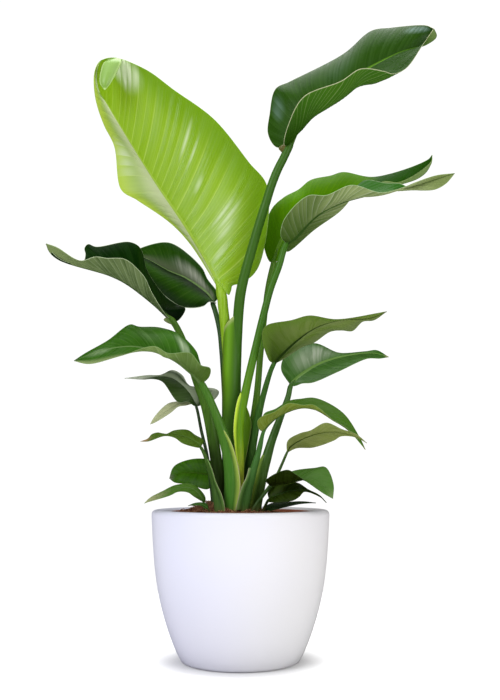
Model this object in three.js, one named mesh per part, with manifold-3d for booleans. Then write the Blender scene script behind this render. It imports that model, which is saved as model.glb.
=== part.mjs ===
// A bird of paradise plant in a white planter: leaves, potting soil, grower pot and planter.
// Millimetres, +Z up. The origin is the middle of the planter's underside, +X is to the right
// of the plant as it is seen from the front, and the front is at -Y.
// The size follows from the planter's rim, 300 mm across, whose opening takes a grower pot of
// 240 mm. That makes the whole plant 1.1 m tall.

import * as THREE from 'three';
import { mergeVertices } from 'three/addons/utils/BufferGeometryUtils.js';
import Module from 'manifold-3d';

const wasm = await Module();
wasm.setup();

// ---- planter: a tapering bowl whose rim is rolled inward and down
const PLANTER_HEIGHT = 248;
const RIM_RADIUS = 150;
const FOOT_RADIUS = 92;
const WALL = 5;
const LIP_WIDTH = 28;
const LIP_THICKNESS = 4;
const SKIRT_DEPTH = 22;
const LIP_ROUND = 7;
const LIP_ROUND_STEPS = 2;
const ROUND_SEGMENTS = 32;
const BOWL_STEPS = 7;
const FLOOR_FILLET_HEIGHT = 15;
// outer wall as [radius, height], from the foot to the widest place under the lip
const BOWL = [[99, 3], [107, 18], [120, 50], [134.5, 99], [143, 148], [147.5, 197], [150, 238]];

// ---- grower pot, standing on the planter's floor
const GAP = 0.3;
const GROWER_RIM_HEIGHT = 245;
const GROWER_RIM_RADIUS = 119.5;
const GROWER_RIM_DEPTH = 12;
const GROWER_RIM_BEVEL = 1;
const GROWER_TOP_RADIUS = 117;
const GROWER_FOOT_RADIUS = 88;
const GROWER_WALL = 2;

// ---- potting soil: level at its edge, mounded around the stalks, a little left of the middle
const SOIL_LEVEL = 236;
const MOUND = { x: -28, y: 8, height: 20, spread: 55 };
const SOIL_LUMPS = 1.6;
const LUMP_WAVES = { x: 0.19, y: 0.23, slantX: 0.11, slantY: 0.18, phase: 1.3 };
const SOIL_RINGS = 6;
const SOIL_RING_SPREAD = 0.85;

// ---- leaves: lengths in mm, the rest as shares
const ROOT_DEPTH = 40;
const BLADE_THICKNESS = 1.2;
const STALK_STEP = 42;
const FEWEST_STALK_STEPS = 3;
const MIDRIB_TIP_RADIUS = 0.5;
const SHEATH_CLEARANCE = 0.4;
// the stalk's depth at the soil, over its width
const OVAL = 0.8;
// where the stalk's solid ends and where the blade begins and ends, along the midrib
const STALK_END = 0.05;
const BLADE_FROM = 0.02;
const BLADE_TO = 0.985;
// the midrib's depth over its half width, and its largest share of half a blade
const MIDRIB_DEPTH = 1.6;
const WIDEST_MIDRIB = 0.3;
// how far a side vein runs towards the tip between midrib and margin
const VEIN_LEAN = 0.5;
// steps for each span of a curve when its length is measured
const ARC_STEPS = 40;

// Each leaf is one grown piece. Its stalk starts at the soil and ends at the blade's foot, and
// its midrib goes on from there to the tip. left and right are the blade's two margins from foot
// to tip, as they lie to the left and right of the midrib when the upper side is seen. girth is
// the stalk's half width from the soil to the foot, and bow says how far each half arches above
// (+) or hangs below (-) the straight line from midrib to margin, as a share of its width, at
// even steps from foot to tip. sides is the stalk's facets around, and grid is the blade's facets
// along, and across each half.
const LEAVES = [
  {
    name: 'leaf_lime_upright',
    colour: 0x8cbe28,
    sides: 8,
    grid: [13, 4],
    girth: [6, 6, 6, 6, 6.5, 7, 5],
    bow: [[0.0, -0.05, 0.0], [0.06, 0.05, 0.0]],
    stalk: [[-8, 11, 237], [-13, 10, 315], [-20, 10, 400], [-25, 10, 487], [-28, 10, 549],
      [-31, 9, 596], [-35, 10, 623]],
    midrib: [[-92, 32, 734], [-168, 38, 851], [-243, 24, 973], [-258, 12, 997], [-259, -4, 1024],
      [-246, -20, 1038], [-237, -32, 1012], [-235, -38, 978]],
    left: [[-93, 54, 722], [-132, 78, 768], [-197, 104, 819], [-228, 108, 841], [-240, 92, 920],
      [-257, 72, 954], [-265, 0, 1022], [-255, -20, 1028], [-247, -34, 1000]],
    right: [[-31, 10, 631], [-2, 16, 642], [21, 16, 658], [37, 14, 687], [47, 10, 816],
      [14, 12, 862], [-49, 11, 942], [-123, 5, 996], [-164, -3, 1025], [-207, -16, 1041],
      [-225, -30, 1035]],
  },
  {
    name: 'leaf_tall_right',
    colour: 0x346828,
    sides: 8,
    grid: [13, 4],
    girth: [11, 13, 15, 15, 9.5, 9, 8.5, 8, 7.5, 7],
    bow: [[0.05, 0.08, 0.1, 0.1], [-0.3, -0.5, -0.35, -0.05]],
    stalk: [[-8, 12, 237], [-10, 13, 315], [-13, 12, 400], [-14, 9, 487], [-8, 2, 556],
      [-1, -8, 611], [11, -19, 690], [28, -27, 759], [49, -33, 818], [68, -36, 853],
      [84, -36, 876]],
    midrib: [[98, -36, 907], [121, -36, 938], [175, -42, 984], [273, -58, 1034], [322, -71, 1045],
      [336, -82, 1053], [330, -92, 1063]],
    left: [[63, -22, 877], [48, -8, 907], [51, -2, 945], [62, 0, 994], [88, 0, 1008],
      [185, -6, 1058], [233, -18, 1095], [267, -28, 1096], [319, -66, 1082]],
    right: [[75, -46, 873], [82, -82, 899], [106, -99, 938], [170, -97, 967], [204, -96, 989],
      [242, -102, 982], [257, -105, 976], [278, -108, 984], [309, -103, 1029]],
  },
  {
    name: 'leaf_right_front',
    colour: 0x3a8022,
    sides: 8,
    grid: [13, 4],
    girth: [8, 9, 8, 7, 6.5, 6, 5.5],
    bow: [[0.02, 0.05, -0.1, 0.0], [-0.05, -0.08, -0.1, -0.05]],
    stalk: [[-4, -9, 238], [-3, -11, 321], [-1, -13, 396], [9, -15, 450], [25, -16, 520],
      [38, -18, 574], [51, -20, 623], [66, -22, 664], [79, -24, 703]],
    midrib: [[92, -33, 711], [129, -53, 745], [168, -72, 762], [242, -107, 772], [288, -123, 777],
      [348, -143, 791]],
    left: [[81, -12, 692], [130, -3, 734], [173, -20, 762], [189, -34, 778], [209, -56, 805],
      [246, -83, 793], [269, -100, 789], [292, -116, 782]],
    right: [[68, -56, 711], [75, -86, 733], [111, -110, 763], [141, -120, 761], [181, -133, 774],
      [228, -138, 760], [272, -140, 769], [292, -141, 768], [323, -143, 776]],
  },
  {
    name: 'leaf_right_back',
    colour: 0x5a9614,
    sides: 8,
    grid: [13, 4],
    girth: [6, 6, 6, 5.5, 5, 5],
    bow: [[0.05, 0.1, 0.05, 0.0], [-0.05, -0.05, -0.1, -0.1]],
    stalk: [[4, 32, 236], [11, 30, 321], [19, 28, 384], [28, 27, 445], [35, 27, 524],
      [41, 28, 578], [48, 31, 636], [59, 36, 685]],
    midrib: [[70, 40, 720], [94, 48, 761], [148, 62, 807], [234, 82, 830], [334, 105, 862],
      [356, 111, 884], [364, 115, 912]],
    left: [[52, 38, 685], [40, 48, 728], [55, 60, 788], [79, 68, 814], [106, 76, 831],
      [129, 82, 851], [168, 92, 863], [191, 96, 871], [251, 106, 865], [356, 117, 903]],
    right: [[64, 26, 684], [109, 24, 731], [146, 39, 774], [233, 64, 826], [265, 74, 846],
      [296, 84, 848], [360, 109, 896]],
  },
  {
    name: 'leaf_mid_right_upper',
    colour: 0x467d28,
    sides: 8,
    grid: [10, 3],
    girth: [7, 7.5, 7.5, 6.5, 5, 4],
    bow: [[0.06, 0.08, 0.05], [0.05, -0.05, 0.0]],
    stalk: [[11, 16, 237], [13, 13, 298], [25, 3, 383], [49, -12, 476], [57, -16, 495]],
    midrib: [[65, -21, 505], [119, -66, 547], [164, -92, 559], [209, -115, 558], [236, -127, 567]],
    left: [[69, -8, 501], [108, -4, 526], [126, -10, 532], [152, -38, 547], [170, -54, 547],
      [186, -66, 544], [201, -98, 555], [217, -112, 555]],
    right: [[48, -28, 500], [36, -68, 541], [44, -78, 552], [84, -101, 557], [112, -110, 563],
      [156, -116, 556]],
  },
  {
    name: 'leaf_mid_right_lower',
    colour: 0x50873c,
    sides: 8,
    grid: [10, 3],
    girth: [8.5, 9, 8.5, 7, 5.5, 4.5],
    bow: [[0.05, 0.08, 0.05], [-0.05, -0.18, -0.1]],
    stalk: [[26, 0, 237], [30, 0, 272], [50, 4, 354], [82, 13, 440], [87, 17, 460]],
    midrib: [[96, 22, 472], [137, 52, 502], [194, 85, 522], [247, 110, 529], [275, 121, 523]],
    left: [[71, 40, 492], [81, 58, 520], [134, 91, 545], [182, 108, 529], [232, 118, 533],
      [252, 121, 536]],
    right: [[94, 10, 459], [106, 6, 463], [124, 12, 465], [173, 48, 488], [232, 94, 517],
      [256, 110, 519]],
  },
  {
    name: 'leaf_right_arch',
    colour: 0x468232,
    sides: 8,
    grid: [10, 3],
    girth: [10, 10, 8, 6, 4.5, 3],
    bow: [[0.0, 0.05, 0], [-0.05, -0.1, 0.0]],
    stalk: [[4, -29, 239], [8, -30, 268], [30, -35, 343], [39, -38, 379]],
    midrib: [[46, -42, 389], [66, -50, 405], [104, -62, 417], [138, -68, 408], [152, -71, 397],
      [183, -75, 376], [204, -78, 347]],
    left: [[36, -30, 393], [40, -27, 409], [59, -30, 417], [81, -36, 430], [101, -42, 433],
      [126, -44, 434], [170, -54, 409], [196, -69, 367]],
    right: [[33, -42, 380], [28, -54, 394], [35, -60, 402], [55, -68, 409], [79, -76, 423],
      [103, -79, 420], [120, -81, 420], [153, -83, 394], [171, -81, 384]],
  },
  {
    name: 'leaf_right_low',
    colour: 0x508228,
    sides: 6,
    grid: [8, 3],
    girth: [3.5, 3, 2.5, 2.2],
    bow: [[0.08, 0.08, 0], [0.03, 0.0, 0]],
    stalk: [[26, -20, 238], [31, -20, 261], [59, -21, 302], [78, -24, 343]],
    midrib: [[83, -26, 353], [110, -44, 369], [151, -72, 377], [187, -97, 368], [203, -108, 357]],
    left: [[95, -15, 351], [122, -26, 352], [155, -57, 363], [165, -74, 369], [185, -93, 367]],
    right: [[79, -38, 363], [99, -54, 375], [115, -64, 379], [140, -80, 391], [165, -91, 380],
      [186, -101, 372]],
  },
  {
    name: 'leaf_right_droop',
    colour: 0x467832,
    sides: 6,
    grid: [8, 3],
    girth: [3.5, 3, 2.5],
    bow: [[0.05, 0.08, 0.0], [-0.15, -0.1, 0.05]],
    stalk: [[18, -40, 239], [24, -41, 254], [41, -43, 277], [51, -46, 288]],
    midrib: [[60, -53, 291], [75, -61, 292], [107, -79, 300], [122, -87, 297], [144, -98, 280],
      [148, -102, 269]],
    left: [[56, -40, 296], [84, -42, 312], [122, -64, 318], [139, -76, 319], [150, -94, 291]],
    right: [[42, -54, 297], [76, -88, 315], [88, -95, 309], [132, -105, 278]],
  },
  {
    name: 'leaf_right_shade',
    colour: 0x284614,
    sides: 6,
    grid: [8, 3],
    girth: [3, 2.5, 2.2],
    bow: [[0.05, 0.08, 0.05], [0.08, 0.05, 0.05]],
    stalk: [[34, -13, 238], [40, -14, 251], [48, -18, 266]],
    midrib: [[61, -24, 273], [94, -44, 282], [125, -67, 276], [140, -76, 262]],
    left: [[51, -12, 276], [65, -12, 285], [100, -36, 291], [130, -66, 276]],
    right: [[51, -26, 262], [85, -48, 265], [97, -55, 272], [105, -60, 279], [131, -74, 270]],
  },
  {
    name: 'leaf_right_rim',
    colour: 0x234114,
    sides: 6,
    grid: [8, 3],
    girth: [2.5, 2, 1.8],
    bow: [[0.08, 0.08, 0.05], [0.08, 0.05, 0.05]],
    stalk: [[40, 3, 234], [40, 2, 242], [41, 0, 249]],
    midrib: [[52, -2, 253], [103, -14, 260], [127, -20, 260]],
    left: [[45, 6, 255], [55, 9, 259], [86, 1, 261], [105, -9, 262]],
    right: [[45, -10, 246], [80, -22, 254], [100, -21, 258]],
  },
  {
    name: 'leaf_left_front',
    colour: 0x1e3c0f,
    sides: 8,
    grid: [10, 3],
    girth: [9, 10, 10, 9.5, 8, 6, 5.5],
    bow: [[-0.05, -0.08, -0.05], [0.0, 0.05, 0.08, 0.0]],
    stalk: [[-33, 2, 237], [-39, 0, 310], [-52, -3, 393], [-60, -6, 427], [-70, -6, 453],
      [-92, -10, 516], [-104, -17, 546], [-118, -28, 569]],
    midrib: [[-181, -61, 619], [-214, -78, 635], [-293, -124, 652], [-306, -135, 662],
      [-311, -142, 675]],
    left: [[-126, -40, 575], [-147, -76, 607], [-156, -90, 627], [-162, -98, 635],
      [-187, -115, 655], [-216, -128, 654], [-232, -134, 655], [-256, -142, 647],
      [-293, -146, 668]],
    right: [[-109, -20, 568], [-96, -7, 593], [-111, -5, 600], [-132, -6, 615], [-162, -17, 657],
      [-173, -32, 694], [-190, -42, 702], [-242, -78, 685], [-258, -90, 679], [-264, -98, 679],
      [-278, -112, 669], [-297, -130, 665]],
  },
  {
    name: 'leaf_left_back',
    colour: 0x325a28,
    sides: 6,
    grid: [10, 3],
    girth: [5.5, 5.5, 5, 4.5],
    bow: [[0.1, 0.12, 0.05], [0.05, 0.08, 0.0]],
    stalk: [[-19, 38, 235], [-22, 37, 315], [-26, 37, 384], [-29, 38, 455], [-34, 42, 526],
      [-39, 47, 567], [-51, 54, 611]],
    midrib: [[-61, 60, 631], [-100, 78, 663], [-133, 93, 680], [-189, 118, 713], [-223, 130, 714]],
    left: [[-44, 48, 612], [-57, 42, 613], [-68, 38, 604], [-106, 44, 604], [-164, 76, 652],
      [-190, 98, 682]],
    right: [[-40, 60, 627], [-62, 74, 662], [-73, 82, 685], [-121, 103, 731], [-144, 112, 740],
      [-191, 125, 732]],
  },
  {
    name: 'leaf_left_mid',
    colour: 0x387822,
    sides: 8,
    grid: [10, 3],
    girth: [11, 12, 12, 10, 8, 7, 6],
    bow: [[-0.1, -0.15, -0.05, 0.0], [0.12, 0.15, 0.1, 0.0]],
    stalk: [[-17, -31, 239], [-15, -33, 298], [-18, -34, 331], [-36, -36, 393], [-65, -38, 458]],
    midrib: [[-75, -42, 470], [-114, -51, 500], [-172, -61, 518], [-223, -68, 513],
      [-275, -75, 493]],
    left: [[-52, -52, 469], [-50, -68, 482], [-65, -79, 486], [-82, -84, 505], [-118, -91, 504],
      [-140, -93, 515], [-199, -92, 498], [-248, -83, 487]],
    right: [[-63, -26, 471], [-71, -24, 503], [-76, -27, 516], [-104, -29, 544], [-139, -29, 556],
      [-173, -38, 556], [-187, -42, 559], [-223, -53, 530], [-259, -67, 506]],
  },
  {
    name: 'leaf_left_grey',
    colour: 0x506946,
    sides: 6,
    grid: [8, 3],
    girth: [3, 3, 2.8, 2.5],
    bow: [[0.05, 0.05, 0.0], [0.05, 0.1, 0.0]],
    stalk: [[-45, -13, 238], [-56, -13, 335], [-67, -8, 381], [-76, -5, 422]],
    midrib: [[-87, 0, 446], [-119, 10, 473], [-168, 21, 476], [-204, 24, 474]],
    left: [[-81, -12, 424], [-90, -16, 430], [-106, -15, 429], [-136, 3, 466], [-152, 8, 471],
      [-171, 17, 471]],
    right: [[-67, 6, 426], [-45, 18, 437], [-38, 21, 450], [-47, 22, 456], [-80, 22, 455],
      [-93, 24, 464], [-103, 26, 480], [-121, 30, 489], [-139, 31, 480], [-163, 29, 480]],
  },
  {
    name: 'leaf_left_pale',
    colour: 0x829664,
    sides: 6,
    grid: [8, 3],
    girth: [2.4, 2.2, 1.8],
    bow: [[0.05, 0.05, 0.0], [0.05, 0.05, 0.0]],
    stalk: [[-38, 40, 235], [-43, 44, 297], [-49, 36, 349], [-60, 17, 421], [-69, 12, 440]],
    midrib: [[-117, 2, 422], [-155, -5, 392]],
    left: [[-77, 6, 431], [-92, 0, 425], [-107, -5, 422], [-119, -8, 412], [-146, -8, 395]],
    right: [[-78, 16, 440], [-95, 13, 433], [-124, 5, 429], [-148, -2, 405]],
  },
  {
    name: 'leaf_left_brown_tip',
    colour: 0x32641e,
    sides: 8,
    grid: [8, 3],
    girth: [9, 8, 5, 3.5, 2.6],
    bow: [[0.05, 0.05, 0.0], [0.1, 0.05, 0.0]],
    stalk: [[-34, -45, 239], [-36, -44, 261], [-58, -42, 336], [-66, -41, 352]],
    midrib: [[-76, -44, 362], [-105, -53, 373], [-139, -62, 370], [-151, -65, 364],
      [-164, -68, 361]],
    left: [[-69, -47, 351], [-95, -60, 358], [-108, -61, 367], [-124, -61, 370], [-151, -67, 361]],
    right: [[-62, -32, 364], [-76, -33, 373], [-88, -37, 381], [-110, -47, 380], [-125, -55, 373],
      [-136, -58, 376], [-146, -61, 373], [-152, -64, 366]],
  },
  {
    name: 'leaf_left_blunt',
    colour: 0x326e14,
    sides: 6,
    grid: [8, 3],
    girth: [3.4, 3, 2.6],
    bow: [[0.08, 0.08, 0.05], [0.08, 0.08, 0.05]],
    stalk: [[-25, 24, 236], [-34, 22, 287], [-40, 18, 299], [-48, 14, 304]],
    midrib: [[-63, 18, 308], [-100, 26, 309], [-124, 29, 300]],
    left: [[-47, 8, 291], [-56, 5, 282], [-80, 12, 287], [-98, 18, 291], [-114, 24, 293]],
    right: [[-48, 20, 320], [-53, 24, 331], [-81, 31, 334], [-111, 35, 325], [-119, 33, 317]],
  },
  {
    name: 'leaf_left_rim',
    colour: 0x32641e,
    sides: 6,
    grid: [8, 3],
    girth: [3.5, 2.8, 2.2],
    bow: [[0.05, 0.05, 0.0], [0.05, 0.05, 0.0]],
    stalk: [[-57, -30, 235], [-59, -32, 249], [-61, -34, 261]],
    midrib: [[-66, -39, 272], [-77, -45, 283], [-93, -51, 286], [-156, -68, 261]],
    left: [[-76, -51, 271], [-86, -56, 278], [-102, -60, 279], [-115, -62, 273]],
    right: [[-58, -30, 265], [-60, -30, 273], [-79, -40, 291], [-107, -51, 290], [-128, -58, 280],
      [-147, -64, 270]],
  },
  {
    name: 'leaf_left_sprout',
    colour: 0x32641e,
    sides: 6,
    grid: [8, 3],
    girth: [2.2, 1.8, 1.4],
    bow: [[0.05, 0.05, 0.0], [0.05, 0.05, 0.0]],
    stalk: [[-44, -56, 234], [-47, -58, 243], [-52, -60, 251]],
    midrib: [[-59, -62, 258], [-70, -64, 260], [-85, -66, 257]],
    left: [[-56, -65, 252], [-64, -68, 257]],
    right: [[-54, -56, 259], [-63, -57, 262], [-75, -61, 261]],
  },
];

// ---- colours, and how rough the surfaces look
const PLANTER_FINISH = { color: 0xeeeef8, roughness: 0.35 };
const GROWER_FINISH = { color: 0xa05a3c, roughness: 0.6 };
const SOIL_FINISH = { color: 0x6e4632, roughness: 0.95 };
const LEAF_ROUGHNESS = 0.4;

// ---- solids
const WELD = 1e-4;

/** A closed geometry as a manifold solid, turned so that its faces point out. */
function toSolid(geometry) {
  const bare = geometry.index ? geometry.toNonIndexed() : geometry.clone();
  bare.deleteAttribute('normal');
  bare.deleteAttribute('uv');
  const merged = mergeVertices(bare, WELD);
  const place = merged.attributes.position.array;
  const index = merged.index.array;
  const triangles = [];
  let volume = 0;
  const [a, b, c] = [new THREE.Vector3(), new THREE.Vector3(), new THREE.Vector3()];
  for (let i = 0; i < index.length; i += 3) {
    const [p, q, r] = [index[i], index[i + 1], index[i + 2]];
    if (p === q || q === r || r === p) {
      continue;
    }
    triangles.push([p, q, r]);
    a.fromArray(place, p * 3);
    b.fromArray(place, q * 3);
    c.fromArray(place, r * 3);
    volume += a.dot(b.cross(c));
  }
  const facing = triangles.map(([p, q, r]) => (volume < 0 ? [p, r, q] : [p, q, r]));
  const vertProperties = new Float32Array(place);
  const triVerts = new Uint32Array(facing.flat());
  return new wasm.Manifold(new wasm.Mesh({ numProp: 3, vertProperties, triVerts }));
}

/** A manifold solid as a named mesh. */
function toMesh(name, solid, finish) {
  const { numProp, vertProperties, triVerts } = solid.getMesh();
  const place = new Float32Array((vertProperties.length / numProp) * 3);
  for (let i = 0; i < place.length / 3; i += 1) {
    place.set(vertProperties.subarray(i * numProp, i * numProp + 3), i * 3);
  }
  const geometry = new THREE.BufferGeometry();
  geometry.setAttribute('position', new THREE.BufferAttribute(place, 3));
  geometry.setIndex(new THREE.BufferAttribute(new Uint32Array(triVerts), 1));
  geometry.computeVertexNormals();
  const mesh = new THREE.Mesh(geometry, new THREE.MeshStandardMaterial(finish));
  mesh.name = name;
  return mesh;
}

/** The solid that a closed profile of [radius, height] points makes as it turns about +Z. */
function turned(profile) {
  const points = profile.map(([radius, height]) => new THREE.Vector2(radius, height));
  return toSolid(new THREE.LatheGeometry(points, ROUND_SEGMENTS).rotateX(Math.PI / 2));
}

/** Closed geometry from a grid of points: rings joined side by side, with both ends capped. */
function lofted(rings) {
  const count = rings[0].length;
  const points = rings.flat();
  const index = [];
  for (let i = 0; i + 1 < rings.length; i += 1) {
    for (let j = 0; j < count; j += 1) {
      const [a, b] = [i * count + j, i * count + ((j + 1) % count)];
      const [c, d] = [a + count, b + count];
      index.push(a, b, d, a, d, c);
    }
  }
  const last = (rings.length - 1) * count;
  for (let j = 1; j + 1 < count; j += 1) {
    index.push(0, j + 1, j);
    index.push(last, last + j, last + j + 1);
  }
  const geometry = new THREE.BufferGeometry().setFromPoints(points);
  geometry.setIndex(index);
  return geometry;
}

// ---- pot and soil

/** Profile points on an arc round a centre, from one angle to another in degrees. */
function arc(x, z, radius, from, to) {
  return Array.from({ length: LIP_ROUND_STEPS + 1 }, (_, i) => {
    const turn = THREE.MathUtils.degToRad(from + ((to - from) * i) / LIP_ROUND_STEPS);
    return [x + radius * Math.cos(turn), z + radius * Math.sin(turn)];
  });
}

/** The bowl, with a lip that is open from below between its skirt and the wall. */
function planter() {
  const inner = RIM_RADIUS - LIP_WIDTH;
  const top = PLANTER_HEIGHT - LIP_ROUND;
  const underLip = LIP_ROUND - LIP_THICKNESS;
  const skirtFoot = PLANTER_HEIGHT - SKIRT_DEPTH;
  const wall = new THREE.SplineCurve(BOWL.map(([r, z]) => new THREE.Vector2(r, z)));
  const outer = wall.getPoints(BOWL_STEPS).map((p) => [p.x, p.y]);
  const inside = outer.filter(([, z]) => z > FLOOR_FILLET_HEIGHT && z < skirtFoot);
  return turned([
    [0, 0],
    [FOOT_RADIUS, 0],
    ...outer,
    ...arc(RIM_RADIUS - LIP_ROUND, top, LIP_ROUND, 0, 90),
    ...arc(inner + LIP_ROUND, top, LIP_ROUND, 90, 180),
    [inner, skirtFoot],
    [inner + LIP_THICKNESS, skirtFoot],
    ...arc(inner + LIP_ROUND, top, underLip, 180, 90),
    ...arc(RIM_RADIUS - LIP_ROUND, top, underLip, 90, 0),
    ...inside.reverse().map(([r, z]) => [r - WALL, z]),
    [FOOT_RADIUS, WALL],
    [0, WALL],
  ]);
}

/** The grower pot: a plain tapering pot with a thicker rim. */
function growerPot() {
  const floor = WALL + GAP;
  const underRim = GROWER_RIM_HEIGHT - GROWER_RIM_DEPTH;
  return turned([
    [0, floor],
    [GROWER_FOOT_RADIUS, floor],
    [GROWER_TOP_RADIUS, underRim],
    [GROWER_RIM_RADIUS, underRim + GROWER_RIM_BEVEL],
    [GROWER_RIM_RADIUS, GROWER_RIM_HEIGHT],
    [growerInside(GROWER_RIM_HEIGHT), GROWER_RIM_HEIGHT],
    [growerInside(floor + GROWER_WALL), floor + GROWER_WALL],
    [0, floor + GROWER_WALL],
  ]);
}

/** The grower pot's inner radius at a height. */
function growerInside(z) {
  const floor = WALL + GAP + GROWER_WALL;
  const share = (z - floor) / (GROWER_RIM_HEIGHT - floor);
  return THREE.MathUtils.lerp(GROWER_FOOT_RADIUS, GROWER_TOP_RADIUS, share) - GROWER_WALL;
}

/** Height of the soil at a place: a mound with lumps on it. */
function soilTop(x, y) {
  const away = ((x - MOUND.x) ** 2 + (y - MOUND.y) ** 2) / (2 * MOUND.spread ** 2);
  const { x: waveX, y: waveY, slantX, slantY, phase } = LUMP_WAVES;
  const lumps = Math.sin(x * waveX + phase) * Math.cos(y * waveY) + Math.sin(x * slantX + y * slantY);
  return SOIL_LEVEL + MOUND.height * Math.exp(-away) + SOIL_LUMPS * lumps;
}

/** The soil, filling the grower pot, with a hole for each stalk that stands in it. */
function soil(stalks) {
  const floor = WALL + GAP + GROWER_WALL + GAP;
  const edge = growerInside(SOIL_LEVEL) - GAP;
  const ring = (radius, height) => Array.from({ length: ROUND_SEGMENTS }, (_, i) => {
    const turn = (i / ROUND_SEGMENTS) * 2 * Math.PI;
    const [x, y] = [radius * Math.cos(turn), radius * Math.sin(turn)];
    return new THREE.Vector3(x, y, height ?? soilTop(x, y));
  });
  const rings = [ring(growerInside(floor) - GAP, floor)];
  for (let i = 0; i < SOIL_RINGS; i += 1) {
    rings.push(ring(edge * (1 - i / SOIL_RINGS) ** SOIL_RING_SPREAD));
  }
  let solid = toSolid(lofted(rings));
  stalks.forEach((stalk) => {
    solid = solid.subtract(stalk);
  });
  return solid;
}

// ---- leaves

const vectors = (points) => points.map(([x, y, z]) => new THREE.Vector3(x, y, z));
const smoothCurve = (points) => new THREE.CatmullRomCurve3(points, false, 'centripetal');

/** A value from an evenly spaced list, at a share of the way along it. */
function along(values, share) {
  const x = THREE.MathUtils.clamp(share, 0, 1) * (values.length - 1);
  const i = Math.min(Math.floor(x), values.length - 2);
  return THREE.MathUtils.lerp(values[i], values[i + 1], THREE.MathUtils.smoothstep(x - i, 0, 1));
}

/** Stalk and midrib as one curve, with the two margins: all that gives a leaf its form. */
function leafForm(leaf) {
  const stalk = vectors(leaf.stalk);
  const midrib = vectors(leaf.midrib);
  const foot = stalk.at(-1);
  const tip = midrib.at(-1);
  const root = stalk[0].clone().setZ(stalk[0].z - ROOT_DEPTH);
  const spine = smoothCurve([root, ...stalk, ...midrib]);
  const spans = stalk.length + midrib.length;
  spine.arcLengthDivisions = spans * ARC_STEPS;
  const length = spine.getLength();
  const footShare = spine.getLengths()[stalk.length * ARC_STEPS] / length;
  return {
    spine,
    length,
    footShare,
    margins: [leaf.left, leaf.right].map((side) => smoothCurve([foot, ...vectors(side), tip])),
    bladeShare: (u) => THREE.MathUtils.lerp(footShare, 1, u),
  };
}

/** One half's point: u along the midrib, a from midrib (0) to margin (1), side 0 left or 1 right. */
function bladePoint(leaf, form, u, a, side) {
  const share = form.bladeShare(u);
  const start = form.spine.getPointAt(share);
  const ahead = form.spine.getTangentAt(share);
  const reach = form.margins[side].getPointAt(u + VEIN_LEAN * u * (1 - u)).sub(start);
  const up = new THREE.Vector3().crossVectors(reach, ahead).normalize();
  const height = reach.length() * along(leaf.bow[side], u) * 4 * a * (1 - a);
  return start.addScaledVector(reach, a).addScaledVector(up, side ? height : -height);
}

/** Half the midrib's width, u of the way from the foot to the tip. */
function midribRadius(leaf, u) {
  return THREE.MathUtils.lerp(leaf.girth.at(-1), MIDRIB_TIP_RADIUS, Math.sqrt(u));
}

/** The blade: a thin sheet over a grid, its facets split the same way on both faces. */
function blade(leaf, form) {
  const [rows, half] = leaf.grid;
  const columns = 2 * half;
  const stations = [];
  const middle = [];
  for (let i = 0; i <= rows; i += 1) {
    const u = THREE.MathUtils.lerp(BLADE_FROM, BLADE_TO, 0.5 - 0.5 * Math.cos((Math.PI * i) / rows));
    stations.push(u);
    middle.push(Array.from({ length: columns + 1 }, (_, j) => {
      const side = j > half ? 1 : 0;
      const step = Math.abs(j - half);
      const width = bladePoint(leaf, form, u, 1, side).distanceTo(bladePoint(leaf, form, u, 0, side));
      const near = Math.min(WIDEST_MIDRIB, midribRadius(leaf, u) / width);
      const a = step === 0 ? 0 : THREE.MathUtils.lerp(near, 1, (step - 1) / (half - 1));
      return bladePoint(leaf, form, u, a, side);
    }));
  }
  const normalAt = (i, j) => {
    const lengthways = middle[Math.min(i + 1, rows)][j].clone().sub(middle[Math.max(i - 1, 0)][j]);
    const across = middle[i][Math.min(j + 1, columns)].clone().sub(middle[i][Math.max(j - 1, 0)]);
    return across.cross(lengthways).normalize();
  };
  const face = (depthAt) => middle.map((row, i) => row.map((point, j) => {
    return point.clone().addScaledVector(normalAt(i, j), depthAt(i, j));
  }));
  const halfThickness = BLADE_THICKNESS / 2;
  const keel = (i, j) => (j === half ? MIDRIB_DEPTH * midribRadius(leaf, stations[i]) : 0);
  const upper = face(() => halfThickness);
  const lower = face((i, j) => -halfThickness - keel(i, j));
  const across = columns + 1;
  const under = (rows + 1) * across;
  const index = [];
  for (let i = 0; i < rows; i += 1) {
    for (let j = 0; j < columns; j += 1) {
      const a = i * across + j;
      const [b, c, d] = [a + 1, a + across, a + across + 1];
      const split = j < half ? [a, b, d, a, d, c] : [a, b, c, b, d, c];
      index.push(...split);
      index.push(...split.map((v) => v + under).reverse());
    }
  }
  const rim = (a, b) => index.push(a, b + under, b, a, a + under, b + under);
  for (let i = 0; i < rows; i += 1) {
    rim((i + 1) * across, i * across);
    rim(i * across + columns, (i + 1) * across + columns);
  }
  for (let j = 0; j < columns; j += 1) {
    rim(j, j + 1);
    rim(rows * across + j + 1, rows * across + j);
  }
  const geometry = new THREE.BufferGeometry().setFromPoints([...upper.flat(), ...lower.flat()]);
  geometry.setIndex(index);
  return toSolid(geometry);
}

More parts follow.
